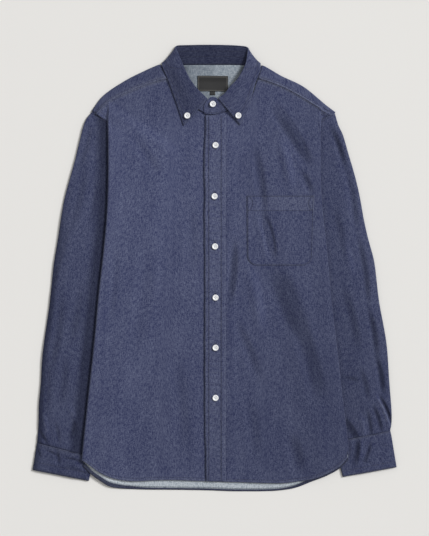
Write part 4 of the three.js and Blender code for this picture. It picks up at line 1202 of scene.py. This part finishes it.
for node, (x, y, z, turn) in button["places"].items():
    z = z if z is not None else float(placketLevel(np.array(x), np.array(y))) + 0.85
    words = node.split("_")
    name = words[0] + "".join(word.capitalize() for word in words[1:])
    made = buttonMesh(name, x, y, z, turn)
    dress(made, node, slot="button")
    points, faces = [], []
    c, s = math.cos(turn) * button["holeAt"], math.sin(turn) * button["holeAt"]
    for way in (1, -1):
        # two threads side by side from a hole to the one across from it
        start, end = np.array([-c - way * s, way * c - s]), np.array([c + way * s, s - way * c])
        beside = np.array([start[1] - end[1], end[0] - start[0]]) / np.linalg.norm(end - start) * 0.16
        for shift in (-beside, beside):
            a, b = ((*(end + shift + (x, y)), z + button["height"] - button["dish"]) for end in (start, end))
            rod(points, faces, a, b, 0.2, 0.75 + 0.1 * (way > 0), 6, 8)
    for k in range(10):
        # the shank of thread under the button
        angle = 2 * math.pi * k / 10
        px, py = 1.1 * math.cos(angle), 1.1 * math.sin(angle)
        rod(points, faces, (x + px, y + py, z - 0.9), (x + px * 0.9, y + py * 0.9, z + 0.3), 0.2, 0.0, 5, 2)
    thread = makeObject(name + "Thread", points, faces, [threadWhite])
    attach(thread, "root")
print("label and buttons made")


# Stitches: short bowed threads laid on the pieces along their seams

sewing = {
    "pitch": 3.1,
    "length": 2.3,
    "thread": 0.34,          # radius
    "underThread": 0.13,     # and flattened under the shirt
    "rise": 0.16,            # how far the middle of a stitch stands up
    "edge": 1.8,             # from an edge to its stitches
    "collarEdge": 6.0,
    "double": 7.0,           # between the two lines of a double seam
    "cuffHem": 10.0,
    "holeLength": 15.0,      # of a buttonhole
}
seamThreads = {"points": [], "faces": []}
surfaces = {}


def surfaceOf(piece):
    if piece.name not in surfaces:
        mesh = piece.data
        points = [tuple(1000 * c for c in vertex.co) for vertex in mesh.vertices]
        surfaces[piece.name] = BVHTree.FromPolygons(points, [tuple(p.vertices) for p in mesh.polygons])
    return surfaces[piece.name]


def levelOn(piece, x, y, below=False):
    way = 1 if below else -1
    hit = surfaceOf(piece).ray_cast(Vector((x, y, -60 * way)), Vector((0, 0, way)))[0]
    return None if hit is None else hit.z


def sew(piece, path, below=False, pitch=None, length=None):
    pitch = pitch or sewing["pitch"]
    length = length or sewing["length"]
    path = np.asarray(path, float)[:, :2]
    reach = np.concatenate([[0], np.cumsum(np.linalg.norm(np.diff(path, axis=0), axis=1))])
    for start in np.arange(0.4, reach[-1] - length, pitch):
        ends = []
        for place in (start, start + length):
            x, y = (float(np.interp(place, reach, path[:, axis])) for axis in (0, 1))
            z = levelOn(piece, x, y, below)
            if z is not None:
                z = max(z - 0.02, sewing["underThread"]) if below else z + 0.03
                ends.append((x, y, z))
        if len(ends) == 2 and abs(ends[0][2] - ends[1][2]) < 1.2:
            thick, rise = (sewing["underThread"], 0.0) if below else (sewing["thread"], sewing["rise"])
            rod(seamThreads["points"], seamThreads["faces"], *ends, thick, rise, 5, 3)


def spot(grid, i, j):
    # a place between a grid's points
    i, j = min(max(i, 0), grid.shape[0] - 1.001), min(max(j, 0), grid.shape[1] - 1.001)
    a, b = int(i), int(j)
    s, t = i - a, j - b
    low = grid[a, b] * (1 - t) + grid[a, b + 1] * t
    return low * (1 - s) + (grid[a + 1, b] * (1 - t) + grid[a + 1, b + 1] * t) * s


def spots(grid, row, columns):
    return [spot(grid, row, column) for column in columns]


def shifted(path, off):
    # a path moved to its left
    path = np.asarray(path, float)[:, :2]
    run = np.gradient(path, axis=0)
    run = run / np.linalg.norm(run, axis=1, keepdims=True)
    return path + np.stack([-run[:, 1], run[:, 0]], 1) * off


for x in placket["stitches"]:
    sew(placketPiece, [(x, 272), (x, -384)])
sew(placketPiece, shifted(placketGrid[4:, 0], sewing["edge"]))

for side, name in ((-1, "frontRight"), (1, "frontLeft")):
    front = dressed[name]
    sew(front, frontGrids[side][-3])
    table = shoulders[side]
    share = np.linspace(0.02, 0.97, 40)
    seam = np.stack([curveAt(table["at"], table["seamX"], share), curveAt(table["at"], table["seamY"], share)], 1)
    toBody = side * sewing["double"] / 2
    sew(front, shifted(seam, toBody))
    sew(yokePiece, shifted(seam, -toBody * 0.8))
    ridge = np.array([table["ridgeX"][0], table["ridgeY"][0]])
    corner = np.array([side * (194.4 if side < 0 else 192.5), frontEdges[side]["cornerY"]])
    for inside in (2.0, 8.5):
        line = shifted([ridge, (ridge + corner) / 2, corner], -side * inside)
        sew(front, line)
        sew(yokePiece, line)
        sew(yokePiece, line, below=True)

inner, hemY = sewing["edge"], pocket["top"] - pocket["hem"]
y = np.linspace(pocket["top"] - 1, pocket["bottom"], 60)
left, right = pocketSides(y)
low = np.maximum(y, pocket["bottom"] + inner)
sew(pocketPiece, np.concatenate([np.stack([left + inner, low], 1), np.stack([right - inner, low], 1)[::-1]]))
sew(pocketPiece, [(pocket["left"][0] + 2, hemY), (pocket["right"][0] - 3, hemY)])
sew(pocketPiece, [(pocket["left"][0] + 2, pocket["top"] - 1.8), (pocket["right"][0] - 2, pocket["top"] - 1.8)])
for edge, way in ((pocket["left"][0], 1), (pocket["right"][0], -1)):
    arc = [(edge + way * (1.8 + 8.5 * math.sin(t)), pocket["top"] - 14 + 12.5 * math.cos(t))
           for t in np.linspace(0, math.pi, 14)]
    sew(pocketPiece, arc, pitch=2.2, length=1.8)

# round the fall, from the point at the wearer's right to the one at the left
lastRow, lastColumn = len(fallGrid) - 1, fallGrid.shape[1] - 1
firstColumn, span = collar["rollPoints"], collar["fallPoints"] - 1
inFromEdge = span * sewing["collarEdge"] / np.linalg.norm(edgePoints - fallGrid[:, firstColumn - 1], axis=1)
inset = sewing["collarEdge"] / np.linalg.norm(fallGrid[1, -1] - fallGrid[0, -1])


def endInset(column):
    return inset * (1.3 - 0.3 * column / (lastColumn - 1))


path = [spot(fallGrid, endInset(j), j) for j in np.arange(firstColumn, lastColumn - inFromEdge[0], 1)]
path += [spot(fallGrid, i, lastColumn - inFromEdge[int(i)]) for i in np.arange(inset, lastRow - inset, 1)]
path += [spot(fallGrid, lastRow - endInset(j), j) for j in np.arange(lastColumn - inFromEdge[-1], firstColumn, -1)]
sew(fallPiece, path)
sew(fallPiece, path, below=True)
for share in (0.07, 0.44, 0.74):
    sew(standPiece, [spot(standGrid, i, 13 * share) for i in np.arange(40, 150, 1)])
sew(standPiece, [spot(standGrid, i, 1.2) for i in np.arange(len(standGrid) - 34, len(standGrid) - 2, 1)])

cuffRows = (0.8, -1 - sewing["cuffHem"] / cuffs["pitch"], -1.9)
for side, hand in ((-1, "Right"), (1, "Left")):
    for name, grid, rows, kind in (("cuff", cuffGrids[side], cuffRows, cuffs),
                                   ("sleeve", sleeveGrids[side], (1.6,), sleeves)):
        piece = dressed[name + hand]
        over, under = np.arange(kind["low"] + 5, grid.shape[1] - 4), np.arange(1, kind["low"] - 1)
        if side < 0:
            over, under = grid.shape[1] - 1 - over, grid.shape[1] - 1 - under
        for row in rows:
            row = row if row >= 0 else grid.shape[0] + row
            sew(piece, spots(grid, row, over))
            sew(piece, spots(grid, row, under), below=True)
    grid = sleeveGrids[side]
    column = sleeves["low"] - 4 if side > 0 else grid.shape[1] - sleeves["low"] + 3
    for shift in (0, 1):
        sew(dressed["sleeve" + hand], grid[::4, column - shift * side], below=True)

for off in (1.5, 1.5 + sewing["double"]):
    sew(yokePiece, [(-188, yoke["seamY"] + off), (188, yoke["seamY"] + off)], below=True)
x = np.linspace(-225, 230, 120)
hemLine = np.stack([x, curveAt(hems["x"], hems["back"], x) + 6.5], 1)
sew(backPiece, hemLine, below=True)
sew(backPiece, shifted(hemLine, -1.2))

half = sewing["holeLength"] / 2
for node, (x, y, z, turn) in button["places"].items():
    if node == "button_stand":
        piece, steps = standPiece, np.arange(-half, half, 0.8)
        bars = [((x + k, y + s - 0.8), (x + k, y + s + 0.8)) for k in steps for s in (-1.1, 1.1)]
    elif "placket" in node:
        piece, steps = placketPiece, np.arange(-half, half + 1.5, 0.8)
        bars = [((x + s - 0.8, y + k), (x + s + 0.8, y + k)) for k in steps for s in (-1.1, 1.1)]
    else:
        continue
    for a, b in bars:
        levels = [levelOn(piece, *end) for end in (a, b)]
        if None not in levels:
            rod(seamThreads["points"], seamThreads["faces"], (*a, levels[0]), (*b, levels[1]), 0.3, 0.1, 5, 2)
stitches = makeObject("stitches", seamThreads["points"], seamThreads["faces"], [threadNavy])
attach(stitches, "root")
print("stitches made:", len(seamThreads["faces"]), "faces")


# The stage: a pale table, soft light from the top right, and the camera straight above

stage = {
    "floor": (0.765, 0.755, 0.735),
    "sky": 0.46,
    "sun": {"from": (0.95, 0.50, 0.95), "power": 2.45, "softness": 18},
    "fill": {"at": (0.7, 0.6, 1.9), "size": 1.6, "power": 2.6},
}

floorMaterial, nodes, links, shader = newMaterial("pale table")
shader.inputs["Base Color"].default_value = (*stage["floor"], 1)
shader.inputs["Roughness"].default_value = 0.9
shader.inputs["Specular IOR Level"].default_value = 0.1
floor = makeObject("floor", np.array([[-9000, -9000, 0], [9000, -9000, 0], [9000, 9000, 0], [-9000, 9000, 0]]),
                   np.array([[0, 1, 2, 3]]), [floorMaterial], smooth=False)

world = bpy.data.worlds.new("studio")
world.use_nodes = True
world.node_tree.nodes["Background"].inputs["Color"].default_value = (1.0, 0.995, 0.985, 1)
world.node_tree.nodes["Background"].inputs["Strength"].default_value = stage["sky"]
bpy.context.scene.world = world


def addLamp(name, kind, at, power):
    data = bpy.data.lights.new(name, kind)
    data.energy = power
    made = bpy.data.objects.new(name, data)
    made.location = at
    made.rotation_euler = (-Vector(at)).to_track_quat("-Z", "Y").to_euler()
    bpy.context.collection.objects.link(made)
    return data


addLamp("sun", "SUN", stage["sun"]["from"], stage["sun"]["power"]).angle = math.radians(stage["sun"]["softness"])
fill = addLamp("fill", "AREA", stage["fill"]["at"], stage["fill"]["power"])
fill.shape = "DISK"
fill.size = stage["fill"]["size"]

cameraData = bpy.data.cameras.new("camera")
cameraData.sensor_fit = "VERTICAL"
cameraData.sensor_height = 24
shownHeight = view["imageHeight"] * view["mmPerPixel"]
cameraData.lens = cameraData.sensor_height * view["height"] / shownHeight
cameraData.clip_end = 50
camera = bpy.data.objects.new("camera", cameraData)
camera.location = (view["middle"][0] * mm, view["middle"][1] * mm, view["height"] * mm)
bpy.context.collection.objects.link(camera)
bpy.context.scene.camera = camera
bpy.context.scene.view_settings.view_transform = "Standard"
print("stage, light and camera made")
